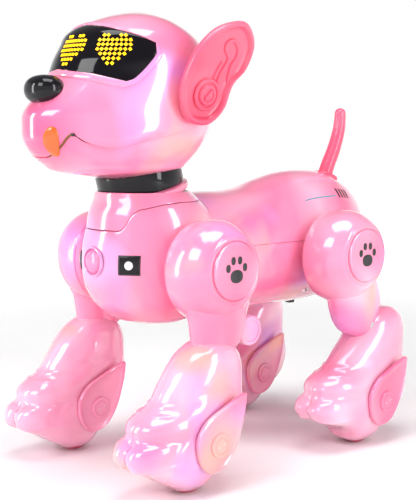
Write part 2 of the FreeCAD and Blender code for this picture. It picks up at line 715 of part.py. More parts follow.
def head():
    visor_side = new_body("visor_side")
    profile = new_sketch(visor_side, "YZ_Plane", "visor_profile")
    outline(profile, [("-200", "Sizes.visor_bottom + 2"),
                      ("Sizes.visor_corner - 10", "Sizes.visor_bottom - 1"),
                      ("Sizes.visor_corner", "Sizes.visor_bottom + 16.5"),
                      ("Sizes.visor_corner - 10", "Sizes.visor_top - 5"),
                      ("Sizes.visor_corner - 24", "Sizes.visor_top"), ("-200", "Sizes.visor_top")])
    pad(visor_side, profile, "visor_block", "2 * Sizes.head_width", midplane=True)
    finish(combine("Common", "visor", head_wall("visor"), visor_side), "visor")

    nose_blob = primitive("Ellipsoid", "nose_blob",
                          {"Radius1": "Sizes.nose_tall / 2", "Radius2": "Sizes.nose_width / 2",
                           "Radius3": "Sizes.nose_deep / 2"},
                          ("0", "Sizes.head_middle - Sizes.head_length * 0.452", "Sizes.nose_rise"))
    finish(combine("Cut", "nose", nose_blob, head_skin("skin_under_nose", 0)), "nose")

    across, upwards = Vector(size("tongue_width") / 2, 0, 0), Vector(0, 0, size("tongue_tall") / 2)
    tongue_solid = Part.Face(oval(Vector(0, 0, 0), across, upwards)).extrude(Vector(0, -60, 0))
    tongue_spot = Vector(size("tongue_side"), size("head_middle") - 30, size("jaw_seam") + 1)
    tongue_core = feature("tongue_core", tongue_solid, Placement(tongue_spot, Rotation()))
    finish(combine("Common", "tongue", head_wall("tongue"), tongue_core), "tongue")

    bosses, pin_holes = [], []
    for side in (1, -1):
        boss = ear_cylinder("ear_boss_%d" % side, side, size("ear_narrow") * 0.85, 0, size("ear_boss"))
        hollow = head_skin("hollow_at_boss_%d" % side, size("wall"))
        bosses.append(combine("Cut", "ear_boss_outside_%d" % side, boss, hollow))
        pin_holes.append(ear_cylinder("ear_hole_%d" % side, side, size("ear_pin") + size("running"), -5, 40))
    above = half_space("above_jaw_seam", "Sizes.jaw_seam")
    crown = combine("Common", "crown", head_wall("crown"), above)
    crown_cut = combine("Cut", "crown_open", crown, visor_side, tongue_core)
    with_bosses = combine("MultiFuse", "crown_with_bosses", crown_cut, *bosses)
    finish(combine("Cut", "head_upper_shell", with_bosses, *pin_holes), "head_upper_shell")

    lift = "Sizes.collar_tall / 2 + Sizes.gap"
    recess = neck_cylinder("neck_recess", "Sizes.collar_out + 2 * Sizes.gap", lift + " - 60", "60")
    plate_block = neck_cylinder("neck_plate_block", "Sizes.collar_out + 2 * Sizes.wall", lift, "Sizes.wall")
    plate = combine("Common", "neck_plate", head_skin("skin_at_plate", 0), plate_block)
    shaft = neck_cylinder("neck_shaft_solid", "Sizes.neck_shaft", lift + " - 29", "30")
    jaw_open = combine("Cut", "jaw_open", head_wall("jaw"), above, tongue_core, recess)
    finish(combine("MultiFuse", "head_lower_shell", jaw_open, plate, shaft), "head_lower_shell")

    eye = rectangle("-Sizes.eye_board_wide / 2", "Sizes.eye_board_wide / 2", "Sizes.visor_bottom + 5",
                    "Sizes.visor_bottom + 5 + Sizes.eye_board_tall")
    finish(block("led_board", "XZ_Plane", eye, "Sizes.board_thick",
                 "-Sizes.visor_corner + Sizes.eye_board_behind"), "led_board")

    ear("left_ear", 1, size("left_ear_turn"))
    ear("right_ear", -1, size("right_ear_turn"))


# ---------------------------------------------------------------- the legs

def pod_skin(name, axle_back, inset, first, last):
    """The egg-shaped thigh, stacked outwards from its inner face."""
    rings = []
    for out, down, half_long, half_tall in POD_RINGS:
        across = size("pod_inner") + first + out * (size("pod_deep") - first - last)
        centre = Vector(across, axle_back, size("axle_rise") - down * size("pod_tall"))
        rings.append((centre, Vector(0, half_long * size("pod_long") - inset, 0),
                      Vector(0, 0, half_tall * size("pod_tall") - inset)))
    return skin(name, rings)


def boot_skin(name, rings, wheel_back, inset):
    """The boot, stacked upwards from the wheel housing to the knee."""
    low, high = rings[0][0], rings[-1][0]
    result = []
    for height, back, half_long, half_wide in rings:
        level = low + inset + (height - low) * (high - low - 2 * inset) / (high - low)
        centre = Vector(size("leg_side"), wheel_back + back, level)
        result.append((centre, Vector(half_wide * size("boot_wide") - inset, 0, 0),
                       Vector(0, half_long - inset, 0)))
    return skin(name, result, BOOT_SEAM)


def link_skin(name, rings, knee_back):
    """The knee link, stacked upwards from inside the boot to inside the thigh."""
    result = []
    for rise, back, half_long, half_wide in rings:
        centre = Vector(size("leg_side"), knee_back + back, size("knee_rise") + rise)
        result.append((centre, Vector(half_wide * size("link_wide"), 0, 0), Vector(0, half_long, 0)))
    return skin(name, result)


def thigh(end, back):
    """Inner cover with its drive hub, outer shell and cap."""
    rise = "Sizes.axle_rise"
    seat = size("cap_sunk")
    outer = pod_skin(end + "_pod_outer", value(back), 0, 0, 0)
    inner = pod_skin(end + "_pod_inner", value(back), size("wall"), 0, size("wall") + seat)
    shell = combine("Cut", end + "_pod_wall", outer, inner)
    face = "Sizes.pod_inner + Sizes.pod_deep"
    cap_seat = primitive("Cylinder", end + "_cap_seat",
                         {"Radius": "Sizes.cap_radius + Sizes.gap / 4", "Height": "20"},
                         (face + " - Sizes.cap_sunk", back, rise), (Vector(0, 1, 0), 90))
    inner_disc = primitive("Box", end + "_inner_slice",
                           {"Length": "Sizes.wall", "Width": "100", "Height": "100"},
                           ("Sizes.pod_inner", back + " - 50", rise + " - 50"))
    shell_outer = combine("Cut", end + "_thigh_outer", shell, cap_seat, inner_disc)
    finish(shell_outer, "left_%s_thigh_outer" % end)

    disc_skin = pod_skin(end + "_disc_skin", value(back), 0, 0, 0)
    disc = combine("Common", end + "_inner_disc", disc_skin, inner_disc)
    hub = primitive("Cylinder", end + "_drive_hub",
                    {"Radius": "Sizes.hub_radius", "Height": "Sizes.pod_inner - 0.45 * Sizes.gearbox_side"},
                    ("0.45 * Sizes.gearbox_side", back, rise), (Vector(0, 1, 0), 90))
    finish(combine("MultiFuse", end + "_thigh_inner", disc, hub), "left_%s_thigh_inner" % end)

    thick = "Sizes.cap_thick"
    corners = [("0", "0"), ("Sizes.cap_radius", "0"), ("Sizes.cap_radius", thick + " - 1"),
               ("Sizes.cap_radius - 1", thick), ("0", thick)]
    cap = turned(end + "_cap", "XZ_Plane", corners, "V_Axis")
    set_place(cap, (face + " - Sizes.cap_sunk", back, rise), (Vector(0, 1, 0), 90))
    finish(cap, "left_%s_cap" % end)


def boot_cutters(end, name, knee, wheel):
    """Everything that is cut out of a boot half, made afresh for each half."""
    centre = "Sizes.leg_side"
    across = (Vector(0, 1, 0), 90)
    start = centre + " - 30"
    tag = "%s_%s_" % (end, name)
    return [
        primitive("Box", tag + "beside", {"Length": "100", "Width": FAR, "Height": "200"},
                  (centre + (" - 100" if name == "outer" else ""), wheel + " - 150", "-20")),
        primitive("Box", tag + "link_room",
                  {"Length": "Sizes.link_wide + 2 * Sizes.gap",
                   "Width": "Sizes.link_slot + 2 * Sizes.knee_gap", "Height": "60"},
                  (centre + " - Sizes.link_wide / 2 - Sizes.gap",
                   knee + " - Sizes.link_slot / 2 - Sizes.knee_gap", "Sizes.knee_rise - 10")),
        primitive("Cylinder", tag + "wheel_room",
                  {"Radius": "Sizes.wheel_radius + 2 * Sizes.gap",
                   "Height": "Sizes.wheel_wide + 2 * Sizes.gap"},
                  (centre + " - Sizes.wheel_wide / 2 - Sizes.gap", wheel, "Sizes.wheel_radius"), across),
        primitive("Cylinder", tag + "knee_hole", {"Radius": "Sizes.knee_pin", "Height": "60"},
                  (start, knee, "Sizes.knee_rise"), across),
        primitive("Cylinder", tag + "axle_hole", {"Radius": "Sizes.wheel_pin", "Height": "60"},
                  (start, wheel, "Sizes.wheel_radius"), across),
        primitive("Cylinder", tag + "cover_hole", {"Radius": "Sizes.cover_stub", "Height": "60"},
                  (start, wheel + " + Sizes.boss_back", "Sizes.boss_rise"), across),
    ]


def shank(end, axle, knee, wheel):
    """Knee link, boot halves, wheel covers, pins and roller."""
    centre = "Sizes.leg_side"
    across = (Vector(0, 1, 0), 90)
    link_solid = link_skin(end + "_link_solid", LINKS[end], value(knee))
    pin_bore = primitive("Cylinder", end + "_knee_bore",
                         {"Radius": "Sizes.knee_pin + Sizes.running", "Height": "60"},
                         (centre + " - 30", knee, "Sizes.knee_rise"), across)
    pod = pod_skin(end + "_pod_over_link", value(axle), 0, 0, 0)
    finish(combine("Cut", end + "_knee_link", link_solid, pod, pin_bore), "left_%s_knee_link" % end)

    for name in ("outer", "inner"):
        outer = boot_skin("%s_%s_boot_skin" % (end, name), BOOTS[end], value(wheel), 0)
        inner = boot_skin("%s_%s_boot_hollow" % (end, name), BOOTS[end], value(wheel), size("boot_wall"))
        half = combine("Cut", "%s_boot_%s" % (end, name), outer, inner, *boot_cutters(end, name, knee, wheel))
        finish(half, "left_%s_boot_%s" % (end, name))

    knee_length = "0.84 * Sizes.boot_wide"
    axle_length = "0.76 * Sizes.boot_wide"
    pins = [
        primitive("Cylinder", end + "_knee_pin", {"Radius": "Sizes.knee_pin", "Height": knee_length},
                  ("%s - %s / 2" % (centre, knee_length), knee, "Sizes.knee_rise"), across),
        primitive("Cylinder", end + "_wheel_pin", {"Radius": "Sizes.wheel_pin", "Height": axle_length},
                  ("%s - %s / 2" % (centre, axle_length), wheel, "Sizes.wheel_radius"), across),
    ]
    finish(combine("MultiFuse", end + "_boot_pins", *pins), "left_%s_boot_pins" % end)
    covers(end, wheel)

    half = "Sizes.wheel_wide / 2"
    tread = "Sizes.wheel_radius"
    bore = "Sizes.wheel_pin + Sizes.running"
    corners = [(bore, "-" + half), (tread + " - 2", "-" + half), (tread, "-%s + 3" % half),
               (tread, half + " - 3"), (tread + " - 2", half), (bore, half)]
    roller = turned(end + "_wheel", "XZ_Plane", corners, "V_Axis")
    set_place(roller, (centre, wheel, "Sizes.wheel_radius"), across)
    finish(roller, "left_%s_wheel" % end)


def covers(end, wheel):
    """A wing-shaped cover on each side of the boot, with a round boss."""
    boss_back = wheel + " + Sizes.boss_back"
    wing = [(wheel + " - 9", "29"), (wheel + " - 8", "38"), (wheel + " - 1", "46"), (wheel + " + 12", "52"),
            (wheel + " + 29", "58"), (wheel + " + 27", "44"), (wheel + " + 21", "27"),
            (wheel + " + 12", "16"), (wheel + " + 1", "14"), (wheel + " - 6", "20")]
    sides = []
    face = "Sizes.boot_wide / 2 + Sizes.gap / 4"
    for name, start, stub in (("outside", "Sizes.leg_side + " + face, "-Sizes.boot_wall"),
                              ("inside", "Sizes.leg_side - %s - Sizes.cover_thick" % face, "0")):
        body = block("%s_cover_%s" % (end, name), "YZ_Plane", wing, "Sizes.cover_thick", start)
        outer_face = start if name == "outside" else start + " - Sizes.boss_proud"
        boss = new_sketch(body, "YZ_Plane", "%s_boss_%s" % (end, name), outer_face)
        circle(boss, boss_back, "Sizes.boss_rise", "Sizes.cover_boss")
        pad(body, boss, "%s_boss_pad_%s" % (end, name), "Sizes.cover_thick + Sizes.boss_proud")
        post = new_sketch(body, "YZ_Plane", "%s_post_%s" % (end, name), "%s + %s" % (start, stub))
        circle(post, boss_back, "Sizes.boss_rise", "Sizes.cover_stub")
        pad(body, post, "%s_post_pad_%s" % (end, name), "Sizes.cover_thick + Sizes.boot_wall")
        sides.append(body)
    finish(combine("MultiFuse", end + "_wheel_covers", *sides), "left_%s_wheel_covers" % end)


torso()
collar()
chest_button()
inner_parts()
body_screws()
tail()
head()
for leg, axle, knee, wheel in (("front", "Sizes.shoulder_back", "Sizes.front_knee", "Sizes.front_wheel"),
                               ("rear", "Sizes.hip_back", "Sizes.rear_knee", "Sizes.rear_wheel")):
    thigh(leg, axle)
    shank(leg, axle, knee, wheel)
for source in [item for item in SEEN if item.Label.startswith(("left_front", "left_rear"))]:
    label = source.Label.replace("left", "right")
    finish(mirrored(label, source), label)

doc.recompute()
faults = [item.Name for item in doc.Objects if "Invalid" in item.State or "Error" in item.State]
assert not faults, "failed features: " + ", ".join(faults)
os.makedirs("parts", exist_ok=True)
for item in SEEN:
    assert not item.Shape.isNull() and item.Shape.isValid(), "bad shape: " + item.Label
    item.Shape.exportStep("parts/%s.step" % item.Label)
print("%d sub-parts" % len(SEEN))
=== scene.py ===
import json
import math

import bpy
import bmesh
import numpy as np
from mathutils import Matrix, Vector


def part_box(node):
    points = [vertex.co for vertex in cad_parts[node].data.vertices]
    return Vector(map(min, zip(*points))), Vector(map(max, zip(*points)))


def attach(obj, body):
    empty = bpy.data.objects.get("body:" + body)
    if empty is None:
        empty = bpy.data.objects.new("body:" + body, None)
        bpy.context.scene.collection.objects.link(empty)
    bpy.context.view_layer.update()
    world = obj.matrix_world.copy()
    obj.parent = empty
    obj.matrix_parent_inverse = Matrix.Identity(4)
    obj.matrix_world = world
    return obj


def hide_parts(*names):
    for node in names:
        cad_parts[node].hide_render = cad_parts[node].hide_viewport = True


# %% [markdown]
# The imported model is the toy's frame. Every shell, pin and board is already in its real place,
# so this lesson only makes finer surfaces for what shows, and lets each ride on the body it belongs to.

# %% The frame
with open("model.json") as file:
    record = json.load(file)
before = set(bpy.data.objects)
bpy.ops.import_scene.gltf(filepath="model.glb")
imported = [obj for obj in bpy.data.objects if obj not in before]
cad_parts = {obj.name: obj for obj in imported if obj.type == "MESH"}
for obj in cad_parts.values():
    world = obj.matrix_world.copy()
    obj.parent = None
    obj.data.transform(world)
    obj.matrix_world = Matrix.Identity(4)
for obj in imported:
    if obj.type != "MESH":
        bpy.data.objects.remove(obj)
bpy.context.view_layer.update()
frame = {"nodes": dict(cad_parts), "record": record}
nodes = frame["nodes"]
record = frame["record"]
body_of = {node: body for body, members in record["behaviour"]["bodies"].items() for node in members}
slot_of = {part["node"]: part["material_slot"] for part in record["subparts"]}

# %% [markdown]
# A moulded shell is described well by a stack of rings: each ring has a place along the shell, a middle
# and two half sizes. A few rings are enough, because a smooth curve through them gives all between.
# Lengths in this lesson are in millimetres until a mesh is made.

# %% Reading a stack of rings
MM = 0.001


def read_rings(rings, places):
    """The columns of the rings at each place, on a smooth curve through them."""
    table = np.array(rings, float)
    knots, values = table[:, 0], table[:, 1:]
    slopes = np.gradient(values, knots, axis=0)
    places = np.clip(np.asarray(places, float), knots[0], knots[-1])
    k = np.clip(np.searchsorted(knots, places, side="right") - 1, 0, len(knots) - 2)
    gap = (knots[k + 1] - knots[k])[..., None]
    t = ((places - knots[k])[..., None]) / gap
    start = (2 * t**3 - 3 * t**2 + 1) * values[k] + (t**3 - 2 * t**2 + t) * gap * slopes[k]
    end = (3 * t**2 - 2 * t**3) * values[k + 1] + (t**3 - t**2) * gap * slopes[k + 1]
    return start + end


def corner(node):
    """A node's lowest and highest corners, in millimetres."""
    low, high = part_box(node)
    return np.array(low) / MM, np.array(high) / MM


def bump(value, middle, width):
    """1 at the middle, and smoothly 0 a few widths away."""
    return np.exp(-(((value - middle) / width) ** 2))


def ease(value, start, end):
    """0 before start and 1 after end, with a smooth step between."""
    t = np.clip((value - start) / (end - start), 0, 1)
    return t * t * (3 - 2 * t)


# %% [markdown]
# A surface is a rule that turns two numbers, a place along the stack and an angle round it, into a point.
# With the rule in hand a seam, a raised lip or a groove is only a small move along the surface's normal.

# %% Surfaces from rings
def upright(rings):
    """A surface of level rings. The angle is 0 at the front and 90 at the dog's left."""
    def surface(height, angle):
        middle, long, wide, egg = np.moveaxis(read_rings(rings, height), -1, 0)
        a = np.radians(angle)
        x = wide * np.sin(a) * (1 - egg * np.cos(a))
        return np.stack([x, middle - long * np.cos(a), np.asarray(height) + 0 * x], -1)
    return surface


def lengthwise(rings):
    """A surface of rings that stand across the body. The angle is 0 on top and 90 at the left."""
    def surface(back, angle):
        middle, wide, tall = np.moveaxis(read_rings(rings, back), -1, 0)
        a = np.radians(angle)
        x = wide * np.sin(a)
        return np.stack([x, np.asarray(back) + 0 * x, middle + tall * np.cos(a)], -1)
    return surface


def raised(surface, along, around, out):
    """Points of the surface, moved outwards."""
    step = 0.05
    du = surface(along + step, around) - surface(along - step, around)
    dv = surface(along, around + step) - surface(along, around - step)
    normal = np.cross(dv, du)
    normal /= np.linalg.norm(normal, axis=-1, keepdims=True) + 1e-9
    return surface(along, around) + normal * (np.asarray(out) + 0 * along)[..., None]


# %% [markdown]
# All grids become meshes in one place. Rows run along the piece and columns run round it. An end can
# close on one point. A mirrored copy turns its faces over, so that they still point outwards.

# %% Grids to meshes
def grid_piece(name, points, round_it=True, poles=(False, False), mirror=False):
    rows, columns = points.shape[:2]
    verts = [tuple(p) for p in points.reshape(-1, 3) * MM]
    last = columns if round_it else columns - 1
    faces = []
    for i in range(rows - 1):
        for j in range(last):
            k = (j + 1) % columns
            faces.append((i * columns + j, i * columns + k, (i + 1) * columns + k, (i + 1) * columns + j))
    for row, wanted in ((0, poles[0]), (rows - 1, poles[1])):
        if wanted:
            verts.append(tuple(points[row].mean(0) * MM))
            for j in range(last):
                pair = (row * columns + j, row * columns + (j + 1) % columns)
                faces.append((*(pair if row else pair[::-1]), len(verts) - 1))
    if mirror:
        verts = [(-x, y, z) for x, y, z in verts]
        faces = [face[::-1] for face in faces]
    mesh = bpy.data.meshes.new(name)
    mesh.from_pydata(verts, [], faces)
    piece = bpy.data.objects.new(name, mesh)
    bpy.context.scene.collection.objects.link(piece)
    return piece


def lathe(name, profile, centre, axis, across, columns=72, mirror=False, poles=(False, False)):
    """A turned piece. The profile's points are (radius, place along the axis)."""
    axis, across = Vector(axis).normalized(), Vector(across).normalized()
    side = axis.cross(across)
    turns = np.linspace(0, 2 * np.pi, columns, endpoint=False)
    ring = np.outer(np.cos(turns), across) + np.outer(np.sin(turns), side)
    points = np.array([np.array(centre) + r * ring + h * np.array(axis) for r, h in profile])
    return grid_piece(name, points, True, poles, mirror)


# %% [markdown]
# Moulded shells have a wall and softly broken edges. Solidify gives the wall and Bevel the edges, and
# the result is stored as a plain mesh so that its patterns stay put when it is moved or exported.

# %% Finishing a piece
def settle(piece):
    """Stores what the modifiers make as the piece's own mesh."""
    ready = piece.evaluated_get(bpy.context.evaluated_depsgraph_get())
    mesh = bpy.data.meshes.new_from_object(ready)
    piece.modifiers.clear()
    piece.data = mesh


def finish_piece(piece, node, material, wall=0.0, edge=0.0, replaced=(), sharp=35):
    """Gives a piece its wall, edges and finish, and lets it ride with its node's body.

    The piece takes the finish that it is given."""
    if wall:
        solid = piece.modifiers.new("Wall", "SOLIDIFY")
        solid.thickness, solid.offset = wall * MM, -1
    if edge:
        soft = piece.modifiers.new("Edge", "BEVEL")
        soft.width, soft.segments, soft.limit_method = edge * MM, 2, "ANGLE"
        soft.angle_limit = math.radians(50)
    settle(piece)
    work = bmesh.new()
    work.from_mesh(piece.data)
    bmesh.ops.remove_doubles(work, verts=work.verts, dist=0.005 * MM)
    bmesh.ops.dissolve_degenerate(work, edges=work.edges, dist=0.005 * MM)
    if all(edge.is_manifold for edge in work.edges):
        bmesh.ops.recalc_face_normals(work, faces=work.faces)
    for face in work.faces:
        face.smooth = True
    for line in work.edges:
        if len(line.link_faces) == 2 and line.calc_face_angle(0) > math.radians(sharp):
            line.smooth = False
    work.to_mesh(piece.data)
    work.free()
    piece.data.materials.clear()
    piece.data.materials.append(material)
    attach(piece, body_of[node])
    if replaced:
        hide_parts(*replaced)
    return piece


# %% [markdown]
# The shells are pearl plastic: a pink base with soft clouds of lilac and peach, pale clouds that are painted
# sheen standing in for broad white reflections, a thin film that tints its gloss, and a hard clear coat.
# Clouds on Object coordinates stay in place from every side.

# %% Finishes
def new_finish(name, colour, roughness, coat=0.0, grain=0.0, grain_size=900.0, clouds=()):
    """A plastic finish. Clouds are (colour, size, low, high) patches over the base colour."""
    material = bpy.data.materials.new(name)
    material.use_nodes = True
    tree = material.node_tree
    shader = tree.nodes["Principled BSDF"]
    shader.inputs["Base Color"].default_value = (*colour, 1)
    shader.inputs["Roughness"].default_value = roughness
    shader.inputs["Coat Weight"].default_value = coat
    shader.inputs["Coat Roughness"].default_value = 0.03
    place = tree.nodes.new("ShaderNodeTexCoord")
    shade = None
    for tint, size, low, high in clouds:
        noise = tree.nodes.new("ShaderNodeTexNoise")
        noise.inputs["Scale"].default_value = size
        noise.inputs["Detail"].default_value = 1.0
        noise.inputs["Distortion"].default_value = 0.6
        tree.links.new(place.outputs["Object"], noise.inputs["Vector"])
        spread = tree.nodes.new("ShaderNodeMapRange")
        spread.inputs["From Min"].default_value = low
        spread.inputs["From Max"].default_value = high
        tree.links.new(noise.outputs["Fac"], spread.inputs["Value"])
        mix = tree.nodes.new("ShaderNodeMix")
        mix.data_type = "RGBA"
        mix.inputs["A"].default_value = (*colour, 1)
        mix.inputs["B"].default_value = (*tint, 1)
        tree.links.new(spread.outputs["Result"], mix.inputs["Factor"])
        if shade:
            tree.links.new(shade, mix.inputs["A"])
        shade = mix.outputs["Result"]
    if shade:
        tree.links.new(shade, shader.inputs["Base Color"])
    if grain:
        fine = tree.nodes.new("ShaderNodeTexNoise")
        fine.inputs["Scale"].default_value = grain_size
        tree.links.new(place.outputs["Object"], fine.inputs["Vector"])
        lift = tree.nodes.new("ShaderNodeBump")
        lift.inputs["Strength"].default_value = grain
        lift.inputs["Distance"].default_value = 0.0002
        tree.links.new(fine.outputs["Fac"], lift.inputs["Height"])
        tree.links.new(lift.outputs["Normal"], shader.inputs["Normal"])
    return material, shader


PINK = (0.91, 0.235, 0.41)
DEEP_PINK = (0.84, 0.085, 0.25)
LILAC = (0.72, 0.30, 0.72)
PEACH = (0.98, 0.42, 0.36)
# a pale pink for painted sheen: its clouds stand in for the broad white reflections on the gloss
PALE_SHEEN_PINK = (0.96, 0.55, 0.70)
# the pearl's first, pale clouds are painted sheen
pearl, pearl_shader = new_finish(
    "pearl pink plastic", PINK, 0.22, coat=1.0, grain=0.03, grain_size=260,
    clouds=[(PALE_SHEEN_PINK, 11, 0.46, 0.68), (DEEP_PINK, 9, 0.46, 0.70),
            (LILAC, 14, 0.54, 0.74), (PEACH, 17, 0.56, 0.76)])
# the boots' pale clouds are painted sheen too
boot_pearl, boot_shader = new_finish(
    "pale pearl plastic", (0.93, 0.40, 0.58), 0.22, coat=1.0, grain=0.03, grain_size=260,
    clouds=[(PALE_SHEEN_PINK, 16, 0.44, 0.62), (PINK, 12, 0.50, 0.70),
            (LILAC, 18, 0.54, 0.72), (PEACH, 22, 0.58, 0.76)])
for shader in (pearl_shader, boot_shader):
    shader.inputs["Thin Film Thickness"].default_value = 420
    shader.inputs["Thin Film IOR"].default_value = 1.6
    shader.inputs["Specular IOR Level"].default_value = 0.8
coral, _ = new_finish("coral soft plastic", (0.76, 0.075, 0.16), 0.36, coat=0.25, grain=0.10,
                                 grain_size=1400, clouds=[((0.90, 0.13, 0.22), 22, 0.4, 0.7)])
black, black_shader = new_finish("black gloss plastic", (0.004, 0.003, 0.005), 0.09, coat=0.3,
                                 clouds=[((0.008, 0.007, 0.010), 30, 0.4, 0.7)])
black_shader.inputs["Specular IOR Level"].default_value = 0.15
button_pink, _ = new_finish("deep pink button", (0.90, 0.17, 0.40), 0.25, coat=0.6,
                            clouds=[((0.95, 0.24, 0.45), 40, 0.4, 0.7)])
orange, _ = new_finish("orange tongue plastic", (0.90, 0.11, 0.004), 0.25, coat=0.7,
                       clouds=[((0.95, 0.18, 0.01), 60, 0.40, 0.62)])
bronze, bronze_shader = new_finish(
    "bronze line", (0.20, 0.09, 0.03), 0.35, clouds=[((0.32, 0.18, 0.06), 90, 0.4, 0.6)])
bronze_shader.inputs["Metallic"].default_value = 0.6
ink, _ = new_finish(
    "printed ink", (0.012, 0.010, 0.012), 0.35, clouds=[((0.025, 0.02, 0.025), 300, 0.4, 0.6)])
teal_ink, _ = new_finish(
    "printed teal ink", (0.02, 0.30, 0.42), 0.35, clouds=[((0.03, 0.36, 0.46), 200, 0.4, 0.6)])
tyre, _ = new_finish("roller rubber", (0.56, 0.035, 0.11), 0.42, coat=0.1, grain=0.25,
                     grain_size=1100, clouds=[((0.70, 0.06, 0.17), 50, 0.4, 0.65)])
steel, steel_shader = new_finish("brushed steel", (0.56, 0.56, 0.58), 0.30, grain=0.1,
                                 clouds=[((0.66, 0.66, 0.68), 200, 0.4, 0.6)])
steel_shader.inputs["Metallic"].default_value = 1.0
board, _ = new_finish(
    "green board", (0.015, 0.16, 0.06), 0.45, grain=0.1, clouds=[((0.02, 0.22, 0.09), 300, 0.45, 0.6)])
grey, _ = new_finish(
    "inner grey plastic", (0.66, 0.66, 0.67), 0.5, grain=0.1, clouds=[((0.74, 0.74, 0.75), 60, 0.4, 0.7)])
dark, _ = new_finish(
    "inner dark plastic", (0.025, 0.025, 0.027), 0.5, grain=0.2, clouds=[((0.04, 0.04, 0.04), 90, 0.4, 0.7)])
lamp, lamp_shader = new_finish(
    "yellow lamp", (1.0, 0.55, 0.0), 0.4, clouds=[((1.0, 0.48, 0.0), 300, 0.4, 0.6)])
lamp_shader.inputs["Emission Color"].default_value = (1.0, 0.60, 0.0, 1)
lamp_shader.inputs["Emission Strength"].default_value = 1.0
print("finishes", len(bpy.data.materials))

# %% [markdown]
# What stays as the CAD made it still needs a finish. Each node takes the one of its own slot, so the
# boards, screws and battery that show through a gap or in an opened copy look like what they are.

# %% Finishes for the CAD nodes
SLOT_FINISH = {
    "pearl_pink": pearl, "coral_soft": coral, "black_gloss": black, "button_pink": button_pink,
    "tongue_orange": orange, "roller_red": tyre, "board_green": board, "cell_white": grey,
    "gearbox_white": grey, "speaker_dark": dark, "steel": steel,
}
for node, cad in nodes.items():
    cad.data.materials.clear()
    cad.data.materials.append(SLOT_FINISH[slot_of[node]])

# %% [markdown]
# The skull is one smooth egg with a round muzzle. It could be sculpted, but rings keep both shells on the
# same surface, so the visor, nose, eyes and seam can all be laid on it exactly.

# %% The head's surface
HEAD_RINGS = [
    # height, middle, half length, half width, egg
    (181.8, -73, 16, 13, 0.02),
    (185.4, -74.6, 38.8, 27, 0.03),
    (191, -75.6, 49.6, 32.5, 0.05),
    (196, -76, 55.4, 36, 0.07),
    (203, -75.9, 61, 39, 0.10),
    (212.6, -74.4, 63.6, 41.5, 0.12),
    (220, -73.3, 64.1, 42.5, 0.13),
    (229, -69.7, 60.5, 43, 0.12),
    (241, -65, 53.8, 43, 0.08),
    (253, -63, 49.7, 41.8, 0.05),
    (260, -63, 45.4, 39.5, 0.04),
    (267, -63.7, 40.6, 35.5, 0.03),
    (273, -63, 31.5, 28.5, 0.02),
    (278, -61.5, 20, 19, 0.01),
    (281, -60.5, 9, 9, 0.0),
]
HEAD_TOP, HEAD_FOOT = HEAD_RINGS[-1][0], HEAD_RINGS[0][0]
head_skin = upright(HEAD_RINGS)
SMILE = [
    # angle from the front, height of the seam between the two head shells
    (0, 195), (14, 195.5), (24, 198.5), (32, 202.5), (39, 208), (46, 204.5), (58, 201), (88, 206),
    (130, 215.5), (180, 221),
]
around = np.linspace(-180, 180, 144, endpoint=False)
seam = read_rings(SMILE, np.abs(around))[:, 0]
cheek = ease(np.abs(around), 38, 54) * (1 - ease(np.abs(around), 120, 165))

# %% [markdown]
# The upper shell's cheeks stand proud of the jaw and cast a thin shadow on it. The rows bunch up near
# the seam, where the surface turns fastest.

# %% Upper and lower head shells
HEAD_WALL, SEAM_GAP = 2.0, 0.3
rise = np.linspace(0, 1, 46)[:, None] ** 1.25
height = seam + SEAM_GAP + (HEAD_TOP - seam - SEAM_GAP) * rise
lip = 1.9 * cheek * bump(height, seam + 3, 9)
upper = grid_piece("head_upper", raised(head_skin, height, around + 0 * height, lip), poles=(False, True))
finish_piece(upper, "head_upper_shell", pearl, HEAD_WALL, 0.6, ["head_upper_shell"])

drop = np.linspace(1, 0, 26)[:, None] ** 1.2
height = seam - SEAM_GAP - (seam - SEAM_GAP - HEAD_FOOT) * drop
tuck = -1.5 * cheek * bump(height, seam, 6)
lower = grid_piece("head_lower", raised(head_skin, height, around + 0 * height, tuck), poles=(True, False))
finish_piece(lower, "head_lower_shell", pearl, HEAD_WALL, 0.5, ["head_lower_shell"])

# %% [markdown]
# The visor is a dark window that wraps round the brow. It is a patch of the same surface, a little
# proud of it, inside a raised frame whose section is five points carried round the window's outline.

# %% Visor and its frame
VISOR_SIDE = 75.0
VISOR_FOOT = [(0, 245), (35, 241.8), (59, 237.6), (63, 239), (VISOR_SIDE, 254)]
VISOR_HEAD = [(0, 272), (20, 271), (48, 267.3), (66, 263.5), (VISOR_SIDE, 260.5)]
side = np.concatenate([np.linspace(0, 59, 32), np.linspace(61, VISOR_SIDE, 11)])
side = np.concatenate([-side[:0:-1], side])
foot = np.interp(np.abs(side), *np.array(VISOR_FOOT).T)
brow = read_rings(VISOR_HEAD, np.abs(side))[:, 0]
climb = np.linspace(0, 1, 18)[:, None]
height = foot + (brow - foot) * climb
visor = grid_piece("visor_glass", raised(head_skin, height, side + 0 * height, 0.35), round_it=False)
finish_piece(visor, "visor", black, 1.6, 0.35, ["visor"])

DEGREE = 0.78          # length on the brow for one degree
outline = np.concatenate([np.stack([side, foot], 1), np.stack([side, brow], 1)[::-1]])
flat = outline * [DEGREE, 1]
ahead, behind = np.roll(flat, -1, 0), np.roll(flat, 1, 0)
way = ahead - behind
outward = np.stack([way[:, 1], -way[:, 0]], 1) / (np.linalg.norm(way, axis=1, keepdims=True) + 1e-9)
FRAME_SECTION = [(-0.5, -0.6), (-0.2, 0.75), (0.4, 1.0), (2.6, 0.85), (3.3, 0.25), (3.6, -0.8)]
broad = np.where(np.arange(len(flat)) < len(side), 1.0, 0.45)
rows = []
for away, lift in FRAME_SECTION:
    spot = (flat + outward * (away * broad)[:, None]) / [DEGREE, 1]
    rows.append(raised(head_skin, spot[:, 1], spot[:, 0], lift + 0 * spot[:, 0]))
rim = grid_piece("visor_frame", np.array(rows))
finish_piece(rim, "head_upper_shell", pearl)
print("visor", len(visor.data.polygons), "faces")

# %% [markdown]
# Each eye is a field of small square lamps that lights up as a heart. The eyes glance to the dog's left.
# The same lamp repeats many times, so a Geometry Nodes tree puts one on each point of a field, turned to
# the surface there.

